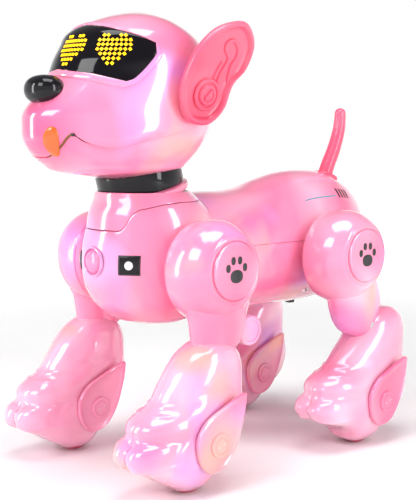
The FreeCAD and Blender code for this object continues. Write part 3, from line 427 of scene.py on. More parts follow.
# %% A tree that repeats a small block on points
def repeat_blocks(name, points, facings, width, depth, material, node):
    """Points and facings in millimetres. The blocks become one plain mesh that rides with the node."""
    mesh = bpy.data.meshes.new(name)
    mesh.from_pydata([tuple(p) for p in np.array(points) * MM], [], [])
    facing = mesh.attributes.new("facing", "FLOAT_VECTOR", "POINT")
    facing.data.foreach_set("vector", np.array(facings, np.float32).ravel())
    field = bpy.data.objects.new(name, mesh)
    bpy.context.scene.collection.objects.link(field)

    tree = bpy.data.node_groups.new(name + " tree", "GeometryNodeTree")
    tree.interface.new_socket("Geometry", in_out="INPUT", socket_type="NodeSocketGeometry")
    wide = tree.interface.new_socket("Block width", in_out="INPUT", socket_type="NodeSocketFloat")
    deep = tree.interface.new_socket("Block depth", in_out="INPUT", socket_type="NodeSocketFloat")
    tree.interface.new_socket("Geometry", in_out="OUTPUT", socket_type="NodeSocketGeometry")
    source = tree.nodes.new("NodeGroupInput")
    result = tree.nodes.new("NodeGroupOutput")
    block = tree.nodes.new("GeometryNodeMeshCube")
    size = tree.nodes.new("ShaderNodeCombineXYZ")
    for side, width_or_depth in (("X", "Block width"), ("Y", "Block width"), ("Z", "Block depth")):
        tree.links.new(source.outputs[width_or_depth], size.inputs[side])
    tree.links.new(size.outputs["Vector"], block.inputs["Size"])
    named = tree.nodes.new("GeometryNodeInputNamedAttribute")
    named.data_type = "FLOAT_VECTOR"
    named.inputs["Name"].default_value = "facing"
    turn = tree.nodes.new("FunctionNodeAlignRotationToVector")
    turn.axis = "Z"
    tree.links.new(named.outputs["Attribute"], turn.inputs["Vector"])
    spread = tree.nodes.new("GeometryNodeInstanceOnPoints")
    tree.links.new(source.outputs["Geometry"], spread.inputs["Points"])
    tree.links.new(block.outputs["Mesh"], spread.inputs["Instance"])
    tree.links.new(turn.outputs["Rotation"], spread.inputs["Rotation"])
    real = tree.nodes.new("GeometryNodeRealizeInstances")
    tree.links.new(spread.outputs["Instances"], real.inputs["Geometry"])
    paint = tree.nodes.new("GeometryNodeSetMaterial")
    paint.inputs["Material"].default_value = material
    tree.links.new(real.outputs["Geometry"], paint.inputs["Geometry"])
    tree.links.new(paint.outputs["Geometry"], result.inputs["Geometry"])

    modifier = field.modifiers.new("Repeat", "NODES")
    modifier.node_group = tree
    modifier[wide.identifier] = width * MM
    modifier[deep.identifier] = depth * MM
    return finish_piece(field, node, material)


# %% Heart eyes
HEART = [
    ".xx..xx.",
    "xxxxxxxx",
    "xxxxxxxx",
    "xxxxxxxx",
    ".xxxxxx.",
    "..xxxx..",
    "...xx...",
]
EYE_ANGLES, EYE_RISE, LAMP_PITCH = (6.0, 43.5), 256.3, 2.7
spots, facings = [], []
for eye_angle in EYE_ANGLES:
    for row, line in enumerate(HEART):
        for column, mark in enumerate(line):
            if mark == "x":
                angle = eye_angle + (column - 3.5) * LAMP_PITCH / DEGREE
                up = EYE_RISE + (3 - row) * LAMP_PITCH
                here = np.array([up]), np.array([angle])
                base, tip = raised(head_skin, *here, 0.4)[0], raised(head_skin, *here, 1.4)[0]
                spots.append(base)
                facings.append(tip - base)
LAMP_WIDE, LAMP_DEEP = 1.7, 0.5
repeat_blocks("heart_lamps", spots, facings, LAMP_WIDE, LAMP_DEEP, lamp, "visor")
print("lamps", len(spots))

# %% [markdown]
# The nose is a glossy rounded button and the tongue a thin orange leaf. Both are domes, so a power
# a little above two keeps their sides full. The smile is a fine tube that follows the shell's seam.

# %% Nose, tongue and smile
def rounded_solid(name, centre, halves, power=2.3, mirror=False):
    """A smooth closed blob with full sides."""
    def part(value):
        return np.sign(value) * np.abs(value) ** (2 / power)
    tilt = np.linspace(-np.pi / 2 + 0.05, np.pi / 2 - 0.05, 26)[:, None]
    turn = np.linspace(-np.pi, np.pi, 48, endpoint=False)[None, :]
    x = halves[0] * part(np.cos(tilt)) * part(np.sin(turn))
    y = -halves[1] * part(np.cos(tilt)) * part(np.cos(turn))
    z = halves[2] * part(np.sin(tilt)) + 0 * turn
    return grid_piece(name, np.stack([x, y, z], -1) + np.array(centre), poles=(True, True), mirror=mirror)


NOSE_MIDDLE, NOSE_HALVES = (0.8, -127, 233.6), (12.8, 10.4, 8.5)
nose = rounded_solid("nose_button", NOSE_MIDDLE, NOSE_HALVES)
finish_piece(nose, "nose", black, replaced=["nose"])

TONGUE_ANGLE, TONGUE_RISE = 23.5, 204.3
TONGUE_WIDE, TONGUE_TALL = 6.6, 8.4       # half sizes, in degrees and millimetres
ring = np.linspace(0, 2 * np.pi, 48, endpoint=False)
leaf = []
for share, lift in ((1.0, -0.6), (1.0, 0.35), (0.92, 0.85), (0.7, 1.1), (0.35, 1.25)):
    angle = TONGUE_ANGLE + TONGUE_WIDE * share * np.cos(ring) + 1.2 * share * np.sin(ring)
    up = TONGUE_RISE + TONGUE_TALL * share * np.sin(ring)
    leaf.append(raised(head_skin, up, angle, lift + 0 * ring))
tongue = grid_piece("tongue_leaf", np.array(leaf), poles=(False, True))
finish_piece(tongue, "tongue", orange, replaced=["tongue"])


def tube(name, path, radii, columns=10, mirror=False, section=None):
    """A tube along a path, with rounded ends. The section can shape it by angle."""
    path = np.array(path, float)
    way = np.gradient(path, axis=0)
    way /= np.linalg.norm(way, axis=1, keepdims=True)
    ring = np.linspace(0, 2 * np.pi, columns, endpoint=False)
    guide = Vector((1, 0.02, 0.01)) if abs(way[0][0]) < 0.8 else Vector((0, 0, 1))
    rows = []
    for point, along, radius in zip(path, way, np.broadcast_to(radii, len(path))):
        side = Vector(along).cross(guide).normalized()
        up = side.cross(Vector(along)).normalized()
        guide = up
        shape = section(ring) if section else 1
        section_points = np.outer(np.cos(ring) * shape, side) + np.outer(np.sin(ring) * shape, up)
        rows.append(point + radius * section_points)
    return grid_piece(name, np.array(rows), True, (True, True), mirror)


SMILE_START, SMILE_END = 14, 39.5
angle = np.linspace(SMILE_START, SMILE_END, 40)
smile_path = raised(head_skin, read_rings(SMILE, angle)[:, 0], angle, 0.15)
smile = tube("smile_line", smile_path, 0.25 + 0.45 * ease(angle, SMILE_START, 26))
finish_piece(smile, "head_lower_shell", bronze)
dimple = rounded_solid("smile_corner", smile_path[-1], (1.6, 1.2, 1.0))
finish_piece(dimple, "head_lower_shell", ink)

# %% [markdown]
# The ears are soft plastic. Each is a thin dish with a thick rolled rim, a turned hub with a slot, and
# a raised pipe that ends in a loop. They lie in a plane that leans outwards, so the ear has its own
# axes: back, up and out, measured from its pivot.

# %% Ears
EAR_OUTLINE = [
    # back and up from the pivot
    (-20.0, 0), (-14.0, 20.8), (-1.5, 35.2), (13.0, 41.2), (24.6, 41.0), (32.0, 29.5), (28.5, 15.0),
    (19.5, 4.5), (15.2, -9.5), (8, -17.5), (-0.6, -20.2), (-13.4, -16.4),
]
EAR_LEAN = math.radians(12)
EAR_PIVOT, EAR_MIDDLE = np.array([38.0, -47.0, 236.0]), np.array([2.0, 6.0])
EAR_RIM = 9.0                             # how far in from the edge the rolled rim reaches
EAR_BACK, EAR_DISH = 9.6, 12.3            # the flat faces' places, out from the pivot


def closed_curve(points, count):
    """A smooth closed curve through the points."""
    points = np.array(points, float)
    n = len(points)
    place = np.linspace(0, n, count, endpoint=False)
    k = place.astype(int)
    t = (place - k)[:, None]
    a, b, c, d = points[(k - 1) % n], points[k], points[(k + 1) % n], points[(k + 2) % n]
    return 0.5 * (2 * b + (c - a) * t + (2 * a - 5 * b + 4 * c - d) * t**2 + (3 * b - a - 3 * c + d) * t**3)


def ear_point(flat, out, turn):
    """Ear places on the left side. The turn is about the pivot's axis."""
    a = math.radians(turn)
    back = flat[:, 0] * math.cos(a) + flat[:, 1] * math.sin(a)
    up = -flat[:, 0] * math.sin(a) + flat[:, 1] * math.cos(a)
    axis = np.array([math.cos(EAR_LEAN), 0, -math.sin(EAR_LEAN)])
    rise = np.array([math.sin(EAR_LEAN), 0, math.cos(EAR_LEAN)])
    return EAR_PIVOT + np.outer(up, rise) + np.outer(out + 0 * up, axis) + back[:, None] * np.array([0, 1, 0])


def make_ear(label, turn, mirror):
    edge = closed_curve(EAR_OUTLINE, 120)
    inward = EAR_MIDDLE - edge
    inward /= np.linalg.norm(inward, axis=1, keepdims=True)
    # the section of the ear from its back face, round the rolled rim and down into the dish
    section = [(EAR_RIM, EAR_BACK), (4.0, EAR_BACK), (1.2, 9.9), (0.2, 11.2), (0.0, 12.9), (0.5, 14.4),
               (1.7, 15.3), (3.2, 15.2), (4.3, 14.1), (4.9, 12.9), (6.0, 12.4), (EAR_RIM, EAR_DISH)]
    rows = [ear_point(edge + inward * into, out, turn) for into, out in section]
    reach = edge + inward * EAR_RIM - EAR_MIDDLE
    dish = [ear_point(EAR_MIDDLE + reach * share, EAR_DISH, turn) for share in (0.6, 0.3, 0.05)]
    back = [ear_point(EAR_MIDDLE + reach * share, EAR_BACK, turn) for share in (0.05, 0.5)]
    ear = grid_piece(label + "_ear_dish", np.array(back + rows + dish), True, (True, True), mirror)
    finish_piece(ear, label + "_ear", coral, replaced=[label + "_ear"])
    axis = Vector((math.cos(EAR_LEAN), 0, -math.sin(EAR_LEAN)))
    centre = ear_point(np.array([[0.0, -2.0]]), 0, turn)[0]
    hub = [(9.6, 11.5), (9.6, 13.5), (8.8, 14.1), (7.8, 14.1), (7.3, 13.3), (6.6, 13.3), (6.2, 14.6),
           (5.6, 15.1), (4.3, 15.1), (3.9, 14.4), (0.4, 14.4)]
    ring = lathe(label + "_ear_hub", hub, centre, axis, (0, 1, 0), mirror=mirror, poles=(False, True))
    finish_piece(ring, label + "_ear", coral)
    slot = ear_point(np.array([[-2.2, -4.6], [0.0, -2.0], [2.2, 0.6]]), 14.6, turn)
    finish_piece(tube(label + "_ear_slot", slot, 1.1, mirror=mirror), label + "_ear", coral)
    pipes = [
        [(7.5, 5.5), (9.5, 11), (13, 17), (13.5, 21), (10.5, 25), (11.5, 29), (15.5, 30.5), (19, 28.5)],
        [(16.0, 0.5), (15.6, 8), (17, 15.5), (20, 20), (20.8, 24.5), (19, 28.5)],
        [(4.5, 7.5), (6.6, 12.5), (9.4, 17.5)],
    ]
    for number, pipe in enumerate(pipes):
        place = np.linspace(0, len(pipe) - 1, 30)
        flat = read_rings([(k, *p) for k, p in enumerate(pipe)], place)
        line = tube(f"{label}_ear_pipe_{number}", ear_point(flat, 12.4, turn), 1.25, mirror=mirror)
        finish_piece(line, label + "_ear", coral)
    base = [(9.0, 0.0), (13.4, 3.0), (13.8, 5.0), (13.4, 7.2), (12.2, 8.2), (6.0, 8.2)]
    seat = lathe(label + "_ear_seat", base, centre, axis, (0, 1, 0), mirror=mirror, poles=(False, True))
    finish_piece(seat, "head_upper_shell", coral)


make_ear("left", 0, False)
make_ear("right", -17, True)

# %% [markdown]
# The chest is a round barrel with a yoke on its shoulders. The yoke's seam dips at the front into a
# small bib. Both shells are parts of one surface, cut at a seam whose height depends on the angle.

# %% Chest and yoke
CHEST_RINGS = [
    # height, middle, half length, half width, egg
    (90, -48.5, 10, 11, 0), (93, -49.3, 20.4, 23.2, 0), (99.7, -51, 30, 31.4, 0),
    (112.3, -51.8, 38.6, 38, 0),
    (125.8, -51.8, 41.8, 40, 0), (140.2, -50.5, 42.6, 40, 0), (151.9, -48.8, 41.6, 38.2, 0),
    (161.8, -50, 38.6, 35.4, 0), (169, -53.2, 32.6, 31.8, 0), (173.5, -55.5, 29.4, 29.2, 0),
]
YOKE_SEAM = [(0, 151), (26, 151), (31, 154), (36, 160), (44, 163.5), (70, 166.5), (90, 167.5), (180, 167.5)]
CHEST_FOOT, CHEST_TOP = CHEST_RINGS[0][0], CHEST_RINGS[-1][0]
SHELL_WALL = 2.0
chest_skin = upright(CHEST_RINGS)
around = np.linspace(-180, 180, 144, endpoint=False)
seam = np.interp(np.abs(around), *np.array(YOKE_SEAM).T)
climb = np.linspace(0, 1, 34)[:, None]
height = CHEST_FOOT + (seam - 0.2 - CHEST_FOOT) * climb
barrel = raised(chest_skin, height, around + 0 * height, 0.0)
chest = grid_piece("chest_barrel", barrel, poles=(True, False))
finish_piece(chest, "chest_shell", pearl, SHELL_WALL, 0.35, ["chest_shell"])
climb = np.linspace(0, 1, 16)[:, None]
height = seam + 0.2 + (CHEST_TOP - seam - 0.2) * climb
yoke = grid_piece("shoulder_yoke", raised(chest_skin, height, around + 0 * height, 0.15))
finish_piece(yoke, "neck_yoke", pearl, SHELL_WALL, 0.4, ["neck_yoke"])

# %% [markdown]
# The collar is a turned ring, so it is a lathe profile on the leaning neck axis.

# %% Collar
LEAN = math.radians(14)
neck_axis = (0, -math.sin(LEAN), math.cos(LEAN))
collar_middle = (0, -58, 182)
collar_shape = [(19, -6.4), (26.0, -6.4), (26.8, -5.8), (27, -4.8)]
collar_shape += [(radius, -place) for radius, place in reversed(collar_shape)]
collar = lathe("collar_ring", collar_shape, collar_middle, neck_axis, (1, 0, 0), 96)
finish_piece(collar, "neck_collar", black, replaced=["neck_collar"])
seat_shape = [(20, -11), (28.6, -11), (29.4, -9.6), (29.0, -7.6), (27.6, -6.7), (20, -6.7)]
seat = lathe("collar_seat", seat_shape, collar_middle, neck_axis, (1, 0, 0), 96)
finish_piece(seat, "neck_yoke", pearl)

# %% Chest button and sensor windows
low, high = corner("chest_button")
button_shape = [(7.6, 0), (7.6, 8.6), (7.2, 9.7), (6.2, 10.6), (3.5, 11.3), (0.4, 11.5)]
button_root = (0, high[1], (low[2] + high[2]) / 2)
button = lathe("push_button", button_shape, button_root, (0, -1, 0), (1, 0, 0), poles=(True, True))
finish_piece(button, "chest_button", button_pink, replaced=["chest_button"])
ring_shape = [(7.9, 0.0), (7.9, 1.2), (8.3, 1.6), (9.0, 1.4), (9.4, 0.0)]
front = raised(chest_skin, np.array([132.0]), np.array([0.0]), -0.6)[0]
button_rim = lathe("push_button_rim", ring_shape, front, (0, -1, 0), (1, 0, 0))
finish_piece(button_rim, "chest_shell", pearl)


def patch(name, skin, middle, halves, lift, node, material, wall=1.2, edge=0.3, replaced=()):
    """A thin plate laid on a surface. The middle and halves are in millimetres and degrees."""
    u = np.linspace(-1, 1, 9)[:, None]
    v = np.linspace(-1, 1, 13)[None, :]
    along = middle[0] + halves[0] * u + 0 * v
    around = middle[1] + halves[1] * v + 0 * u
    plate = grid_piece(name, raised(skin, along, around, lift), round_it=False)
    return finish_piece(plate, node, material, wall, edge, replaced)


WINDOW_RISE, WINDOW_ANGLE = 131.0, 37.0
for label, sign in (("left", 1), ("right", -1)):
    place = (WINDOW_RISE, sign * WINDOW_ANGLE)
    patch(label + "_window_frame", chest_skin, place, (6.0, 9.6), 0.35, "sensor_windows", ink,
          replaced=["sensor_windows"])
    patch(label + "_window", chest_skin, place, (5.1, 8.2), 0.6, "sensor_windows", black)
    here = np.array([place[0]]), np.array([place[1]])
    spot = raised(chest_skin, *here, 0.75)[0]
    facing = raised(chest_skin, *here, 1.75)[0] - spot
    eye_shape = [(2.6, -0.2), (2.6, 0.15), (2.1, 0.25), (1.8, 0.05), (0.3, 0.05)]
    eye = lathe(label + "_sensor_lens", eye_shape, spot, facing, (0, 0, 1), 32, poles=(False, True))
    finish_piece(eye, "sensor_windows", grey)

# %% [markdown]
# The rear body is a long barrel with a dip behind the neck and a hump over the hips. Its rings stand
# across the body. The back and belly shells meet at one level line, so the cutting angle differs by ring.
# A small rounded plug closes their far end.

# %% Back and belly
REAR_RINGS = [
    # back, middle height, half width, half height
    (-40, 130.6, 38, 38.8), (-26, 130.6, 38.6, 39.8), (-7.7, 130.8, 39.4, 40.2), (10.7, 131, 39.8, 40),
    (29, 131.7, 40.2, 41), (47.5, 134.2, 40.6, 43.4), (65.9, 136.1, 41, 45.6), (84.3, 137, 40.6, 46),
    (102.7, 137.4, 38.2, 44.2), (117.4, 139, 32.8, 38.2), (128.5, 141.6, 24.6, 29),
    (135.8, 145.3, 14.8, 17.5),
    (138.9, 147, 5.7, 6.9),
]
SHELL_SINK = -0.55       # the plain shell lies this far below its rings, which leaves room for the saddle
SEAM_TURN = 0.14         # half the seam's gap, in degrees
rear_skin = lengthwise(REAR_RINGS)
BACK_SEAM = 138.0       # the height where back and belly meet
places = np.concatenate([np.linspace(-40, 117, 56), np.linspace(119, 138.9, 16)])
middle, wide, tall = read_rings(REAR_RINGS, places).T
cut = np.degrees(np.arccos(np.clip((BACK_SEAM - middle) / tall, -0.999, 0.999)))
CREASE = [(-40, 70), (-20, 66), (10, 46), (28, 34), (60, 28), (87, 27), (108, 33)]


def back_lift(along, angle):
    """The saddle's soft step, the hollow behind the shoulders and the hip swell."""
    edge = read_rings(CREASE, np.clip(along, -40, 108))[..., 0]
    saddle = 1.1 * (1 - ease(np.abs(angle), edge - 1.5, edge + 2.5)) * (1 - ease(along, 100, 112))
    return saddle + SHELL_SINK


across = np.linspace(-1, 1, 121)[None, :]
angle = across * (cut[:, None] - SEAM_TURN)
along = places[:, None] + 0 * angle
back = grid_piece("back_cover", raised(rear_skin, along, angle, back_lift(along, angle)), round_it=False)
finish_piece(back, "back_shell", pearl, SHELL_WALL, 0.4, ["back_shell"])
angle = 180 + across[:, ::2] * (180 - cut[:, None] - SEAM_TURN)
along = places[:, None] + 0 * angle
belly = grid_piece("belly_cover", raised(rear_skin, along, angle, SHELL_SINK), round_it=False)
finish_piece(belly, "belly_shell", pearl, SHELL_WALL, 0.4, ["belly_shell"])
finish_piece(rounded_solid("rear_plug", (0, 137.2, 147), (6.6, 1.2, 7.8)), "back_shell", pearl)

# %% [markdown]
# The flank carries a small print. Four plain bars and a thin line stand in for it, as thin inlays that
# follow the shell.

# %% Plain stripes on the flank
for side, sign in (("right", -1), ("left", 1)):
    for bar in range(4):
        patch(f"flank_bar_{bar}_{side}", rear_skin, (96 + 3.6 * bar, sign * 47), (0.8, 5.2), -0.35,
              "back_shell", ink, wall=0.5, edge=0.1)
    patch(f"flank_line_{side}", rear_skin, (76, sign * 50.5), (16, 0.5), -0.35,
          "back_shell", teal_ink, wall=0.5, edge=0.1)

# %% [markdown]
# The tail is a soft tapering tube with a groove down its back. The section is a circle with a dent in it.
# Its round flange belongs to the back shell, so it stays put when the tail wags.

# %% Tail
TAIL_LINE = [
    # place along the tail, then its point
    (0, 0, 112.5, 174), (1, 0, 116.5, 184), (2, 0, 124, 198), (3, 0, 129, 211), (4, 0, 130.5, 221),
    (5, 0, 130.3, 227.5),
]
place = np.linspace(0, 5, 50)
tail_path = read_rings(TAIL_LINE, place)
tail_radius = 5.6 - 0.36 * place
tail_radius[-6:] *= np.sqrt(np.clip(1 - np.linspace(0.02, 0.98, 6) ** 2, 0, 1))


def grooved(ring):
    return 1 - 0.16 * bump(ring, np.pi * 1.5, 0.35)


tail = tube("tail_rod", tail_path, tail_radius, 40, section=grooved)
finish_piece(tail, "tail", coral, replaced=["tail"], sharp=60)
flange = [(9.6, -1.0), (9.9, 0.8), (9.2, 2.0), (7.6, 2.5), (5.6, 2.7)]
root_way = Vector(tail_path[4] - tail_path[0])
skirt_place = tail_path[0] + np.array([0, 1.2, 3.4])
skirt = lathe("tail_skirt", flange, skirt_place, root_way, (1, 0, 0), poles=(True, True))
finish_piece(skirt, "back_shell", coral)

# %% [markdown]
# Every leg is built the same way: a round thigh pod on the drive axle with a cap, a knee link below it,
# and a boot of two halves that hides a roller. The left leg's shape is used for the right one, mirrored.

# %% Thigh pods and caps
POD_RINGS = [
    # out from the body, middle height from the axle, half length, half height
    (43.0, -2.2, 25.6, 27.0), (45.0, -2.2, 27.4, 29.2), (49.5, -2.2, 28.6, 30.6), (56.6, -2.0, 29.0, 31.0),
    (64.0, -1.5, 27.6, 29.5), (69.6, -0.9, 24.9, 26.3), (73.2, -0.3, 22.2, 23.3), (75.0, 0.0, 20.6, 21.2),
    (75.5, 0.0, 19.6, 19.9),
]
POD_START, POD_SEAM, POD_END = POD_RINGS[0][0], 45.2, POD_RINGS[-1][0]
CAP_FACE = 77.5


def pod_surface(axle):
    def surface(out, angle):
        middle, long, tall = np.moveaxis(read_rings(POD_RINGS, out), -1, 0)
        a = np.radians(angle)
        y = axle[1] - long * np.sin(a)
        return np.stack([np.asarray(out) + 0 * y, y, axle[2] + middle + tall * np.cos(a)], -1)
    return surface


def join_pieces(name, pieces):
    """One object from several, which are removed."""
    work = bmesh.new()
    for piece in pieces:
        work.from_mesh(piece.data)
        bpy.data.objects.remove(piece)
    mesh = bpy.data.meshes.new(name)
    work.to_mesh(mesh)
    work.free()
    joined = bpy.data.objects.new(name, mesh)
    bpy.context.scene.collection.objects.link(joined)
    return joined


def make_thigh(leg, axle, mirror):
    """The pod's disc and dome, with the cap, its seat and the print on it."""
    skin = pod_surface(axle)
    turn = np.linspace(0, 360, 96, endpoint=False)[None, :]
    for part, start, end, poles in (("inner", POD_START, POD_SEAM - 0.15, (True, False)),
                                    ("outer", POD_SEAM + 0.15, POD_END, (False, True))):
        out = np.linspace(start, end, 8 if part == "inner" else 26)[:, None] + 0 * turn
        pod = grid_piece(f"{leg}_pod_{part}", skin(out, turn + 0 * out), poles=poles, mirror=mirror)
        finish_piece(pod, f"{leg}_thigh_{part}", pearl, 1.8, 0.35, [f"{leg}_thigh_{part}"], sharp=50)
    cap_shape = [(17.2, 74.6), (17.2, 76.6), (16.8, 77.2)]
    cap_shape += [(radius, CAP_FACE) for radius in (16.0, 12.0, 0.4)]
    foot = np.array([0.0, axle[1], axle[2]])
    cap = lathe(f"{leg}_cap_disc", cap_shape, foot, (1, 0, 0), (0, 1, 0), mirror=mirror, poles=(True, True))
    finish_piece(cap, f"{leg}_cap", pearl, replaced=[f"{leg}_cap"])
    seat_shape = [(17.5, 75.2), (17.7, 76.0), (18.4, 76.3), (19.4, 76.1), (20.2, 75.1)]
    seat = lathe(f"{leg}_cap_seat", seat_shape, foot, (1, 0, 0), (0, 1, 0), mirror=mirror)
    finish_piece(seat, f"{leg}_thigh_outer", pearl)
    paw = [rounded_solid("pad", (CAP_FACE, axle[1], axle[2] - 3.0), (0.35, 5.0, 3.9), mirror=mirror)]
    for y, z in ((-6.6, 2.0), (-2.6, 6.2), (2.6, 6.2), (6.6, 2.0)):
        toe = (CAP_FACE, axle[1] + y, axle[2] + z)
        paw.append(rounded_solid("toe", toe, (0.35, 1.8, 2.4), mirror=mirror))
    finish_piece(join_pieces(f"{leg}_paw_print", paw), f"{leg}_cap", ink)


# %% [markdown]
# The boots are the toy's boldest shape: a bulging ankle, a long instep with two fine ridges, and two
# round toes over a flared lip. One rule gives the whole surface, and each half is a part of it. The plan
# is a superellipse, so that the toes stay broad.

# %% Boots
BOOT_RINGS = {
    # height, toe, heel, half width
    "front": [
        (2.8, -82, -61, 9.8), (5, -85.5, -58.5, 12.4), (8, -91, -56.5, 15), (12, -98, -54, 17.3),
        (16.5, -106, -50, 19), (20.5, -113, -45.5, 20.2), (24.5, -116.8, -43.5, 20.5),
        (28.5, -117.4, -41, 20.5),
        (32.5, -115.6, -38, 20.3), (36, -112, -35, 20), (39, -110, -33, 19.9), (43, -108.6, -31, 19.8),
        (48, -105, -30, 19.4), (52.5, -99.5, -29.8, 18.9), (58, -93.5, -29.6, 18.3), (66, -87, -29.8, 17.8),
        (74, -81, -30.8, 17.2), (80, -75, -33.8, 16), (84, -69, -38.5, 13.8), (86.5, -63.5, -44, 10.4),
        (87.6, -59, -48, 6), (88, -55, -52, 1),
    ],
    "rear": [
        (2.8, 70.5, 91.5, 9.8), (5, 67.2, 94.8, 12.4), (8, 64.8, 97, 15), (12, 60.5, 99.5, 17.3),
        (16, 53, 104, 19), (20, 42.5, 113, 20.2), (24, 35, 120, 20.5), (28, 32.2, 124, 20.5),
        (32, 33.2, 126, 20.3), (35.5, 36.6, 127.4, 20), (38.5, 38.8, 128, 19.9), (42.5, 40.4, 128.4, 19.8),
        (47.5, 44.5, 128.4, 19.4), (53, 51.5, 127.2, 18.9), (60, 61.5, 126.6, 18.3),
        (67, 69.5, 126.4, 17.8), (74, 76.5, 126, 17.4), (80, 82, 124.6, 16.6), (85, 88, 121.4, 14.6),
        (88.3, 94.5, 117.4, 11), (90.3, 100.5, 113, 7), (91, 105.5, 108.5, 1),
    ],
}
LEG_MIDDLE = 58.0


SQUARE_FOOT, SQUARE_TOP = 2.7, 2.05     # two makes the plan an ellipse, and more makes it fuller


def boot_surface(rings):
    """A surface of level rings with full corners. The angle is 0 at the toe and 90 on the left."""
    table = [(up, (toe + heel) / 2, (heel - toe) / 2, wide) for up, toe, heel, wide in rings]

    def surface(height, angle):
        middle, long, wide = np.moveaxis(read_rings(table, height), -1, 0)
        a = np.radians(angle)
        power = SQUARE_FOOT + (SQUARE_TOP - SQUARE_FOOT) * ease(np.asarray(height), 34, 60)
        reach = ((np.abs(np.cos(a)) / long) ** power + (np.abs(np.sin(a)) / wide) ** power) ** (-1 / power)
        x, y = LEG_MIDDLE + reach * np.sin(a), middle - reach * np.cos(a)
        return np.stack([x, y, np.asarray(height) + 0 * a], -1)
    return surface


def boot_relief(height, angle):
    """How far the boot stands out from its plain rings. The angle is 0 at the toe."""
    front = np.abs(angle)
    toes = ease(height, 15, 22) * (1 - ease(height, 34, 39))
    split = -1.8 * bump(front, 0, 5.5) * toes
    lobe = 1.0 * bump(front, 20, 12) * toes
    flank = -0.8 * bump(front, 50, 8) * toes
    fold = -1.0 * bump(height, 37, 2.4) * (1 - ease(front, 40, 62))
    instep = 1.2 * bump(height, 44, 4.5) * (1 - ease(front, 45, 75))
    flare = 0.7 * bump(height, 22.5, 1.6) * (1 - ease(front, 50, 80))
    ridge_span = ease(front, 4, 8) * (1 - ease(front, 24, 30))
    ridges = sum(0.7 * bump(height, up, 0.7) for up in (50.5, 55.5)) * ridge_span
    hollow = -1.2 * bump(height, 55, 4.5) * (1 - ease(front, 40, 70))
    ankle = -0.8 * bump(height, 60, 3.5) * ease(front, 30, 70) * (1 - ease(front, 110, 150))
    return split + lobe + flank + fold + instep + flare + ridges + hollow + ankle


def make_boot(leg, end, mirror):
    rings = BOOT_RINGS[end]
    skin = boot_surface(rings)
    up = np.linspace(rings[0][0], rings[-1][0], 118)[:, None]
    for part, start, stop in (("outer", 0.12, 179.88), ("inner", -179.88, -0.12)):
        turn = np.linspace(start, stop, 61)[None, :]
        height, angle = up + 0 * turn, turn + 0 * up
        shell = raised(skin, height, angle, boot_relief(height, angle))
        half = grid_piece(f"{leg}_boot_half_{part}", shell, round_it=False, mirror=mirror)
        finish_piece(half, f"{leg}_boot_{part}", boot_pearl, 1.0, 0.12, [f"{leg}_boot_{part}"], sharp=50)


# %% [markdown]
# A wing-shaped cover hides each end of the wheel's axle. It is drawn as a closed outline and given the
# same kind of section as the ears: up the edge, over a rounded border and down to the face.

# %% Wheel covers
WING = [
    # back from the wheel, height
    (-9, 29), (-8, 38), (-1, 46), (12, 52), (22.5, 56.2), (28.4, 57.6), (28.9, 54.5), (27, 44), (21.5, 28),
    (12.5, 17), (1, 14.4), (-6, 20),
]
WING_SECTION = [
    # in from the edge, out from the boot
    (7.0, 0.0), (0.2, 0.0), (0.0, 0.5), (0.0, 1.7), (0.4, 2.3), (1.3, 2.6), (2.3, 2.3),
    (3.2, 2.0), (7.0, 2.0),
]
WING_MIDDLE, COVER_FACE = np.array([9.0, 33.0]), 20.6
BOSS_BACK, BOSS_RISE = 8, 30


def make_covers(leg, wheel_y, mirror):
    edge = closed_curve(WING, 96)
    inward = WING_MIDDLE - edge
    inward /= np.linalg.norm(inward, axis=1, keepdims=True)
    for name, sign in (("out", 1), ("in", -1)):
        rows = []
        for into, out in WING_SECTION:
            flat = edge + inward * into
            x = np.full(len(flat), LEG_MIDDLE + sign * (COVER_FACE + out))
            rows.append(np.stack([x, wheel_y + flat[:, 0], flat[:, 1]], 1))
        wing = grid_piece(f"{leg}_wing_{name}", np.array(rows), poles=(True, True), mirror=mirror)
        replaced = [f"{leg}_wheel_covers"] if sign > 0 else []
        finish_piece(wing, f"{leg}_wheel_covers", pearl, replaced=replaced)
        boss = [(7.4, 0.6), (7.2, 2.6), (6.6, 3.1), (5.2, 3.2), (4.9, 2.9), (4.3, 2.9)]
        boss += [(4.0, 3.2), (0.4, 3.3)]
        centre = np.array([LEG_MIDDLE + sign * COVER_FACE, wheel_y + BOSS_BACK, BOSS_RISE])
        outward = (sign, 0, 0)
        hub = lathe(f"{leg}_wing_boss_{name}", boss, centre, outward, (0, 1, 0), 48, mirror, (False, True))
        finish_piece(hub, f"{leg}_wheel_covers", pearl)
        slot_line = centre + [[sign * 2.85, k, 0.4 * k] for k in (-2.6, 0, 2.6)]
        slot = tube(f"{leg}_wing_slot_{name}", slot_line, 0.45, mirror=mirror)
        finish_piece(slot, f"{leg}_wheel_covers", steel)


# %% [markdown]
# The knee link is a plump stub between the pod and the boot. The roller is a turned tyre. The knee's pin
# and the roller's axle are plain rods that stop inside the boot.

# %% Knee links, pins and rollers
LINK_RINGS = {
    # height, middle, half length, half width, egg
    "front": [(71.5, -52, 5, 7, 0), (75, -51, 9, 10, 0), (80, -49.5, 14, 11.2, 0), (87, -46, 18.5, 11.7, 0),
              (94, -45, 20.5, 12, 0), (102, -45.5, 21.5, 13, 0), (108, -46, 23.5, 14.5, 0),
              (114, -46, 22, 13, 0)],
    "rear": [(73, 83.5, 8, 8, 0), (76.5, 82.5, 13.5, 10.2, 0), (83, 82, 19.5, 11.3, 0),
             (91, 81.3, 22.8, 11.8, 0), (101, 79.5, 23.5, 12.4, 0), (112, 76, 22, 13, 0)],
}


KNOB_MIDDLE = (LEG_MIDDLE, -25.5, 90.5)
KNEE_PIN, AXLE_PIN = 2.5, 2.0            # radii
OUT, BACK = (1, 0, 0), (0, 1, 0)


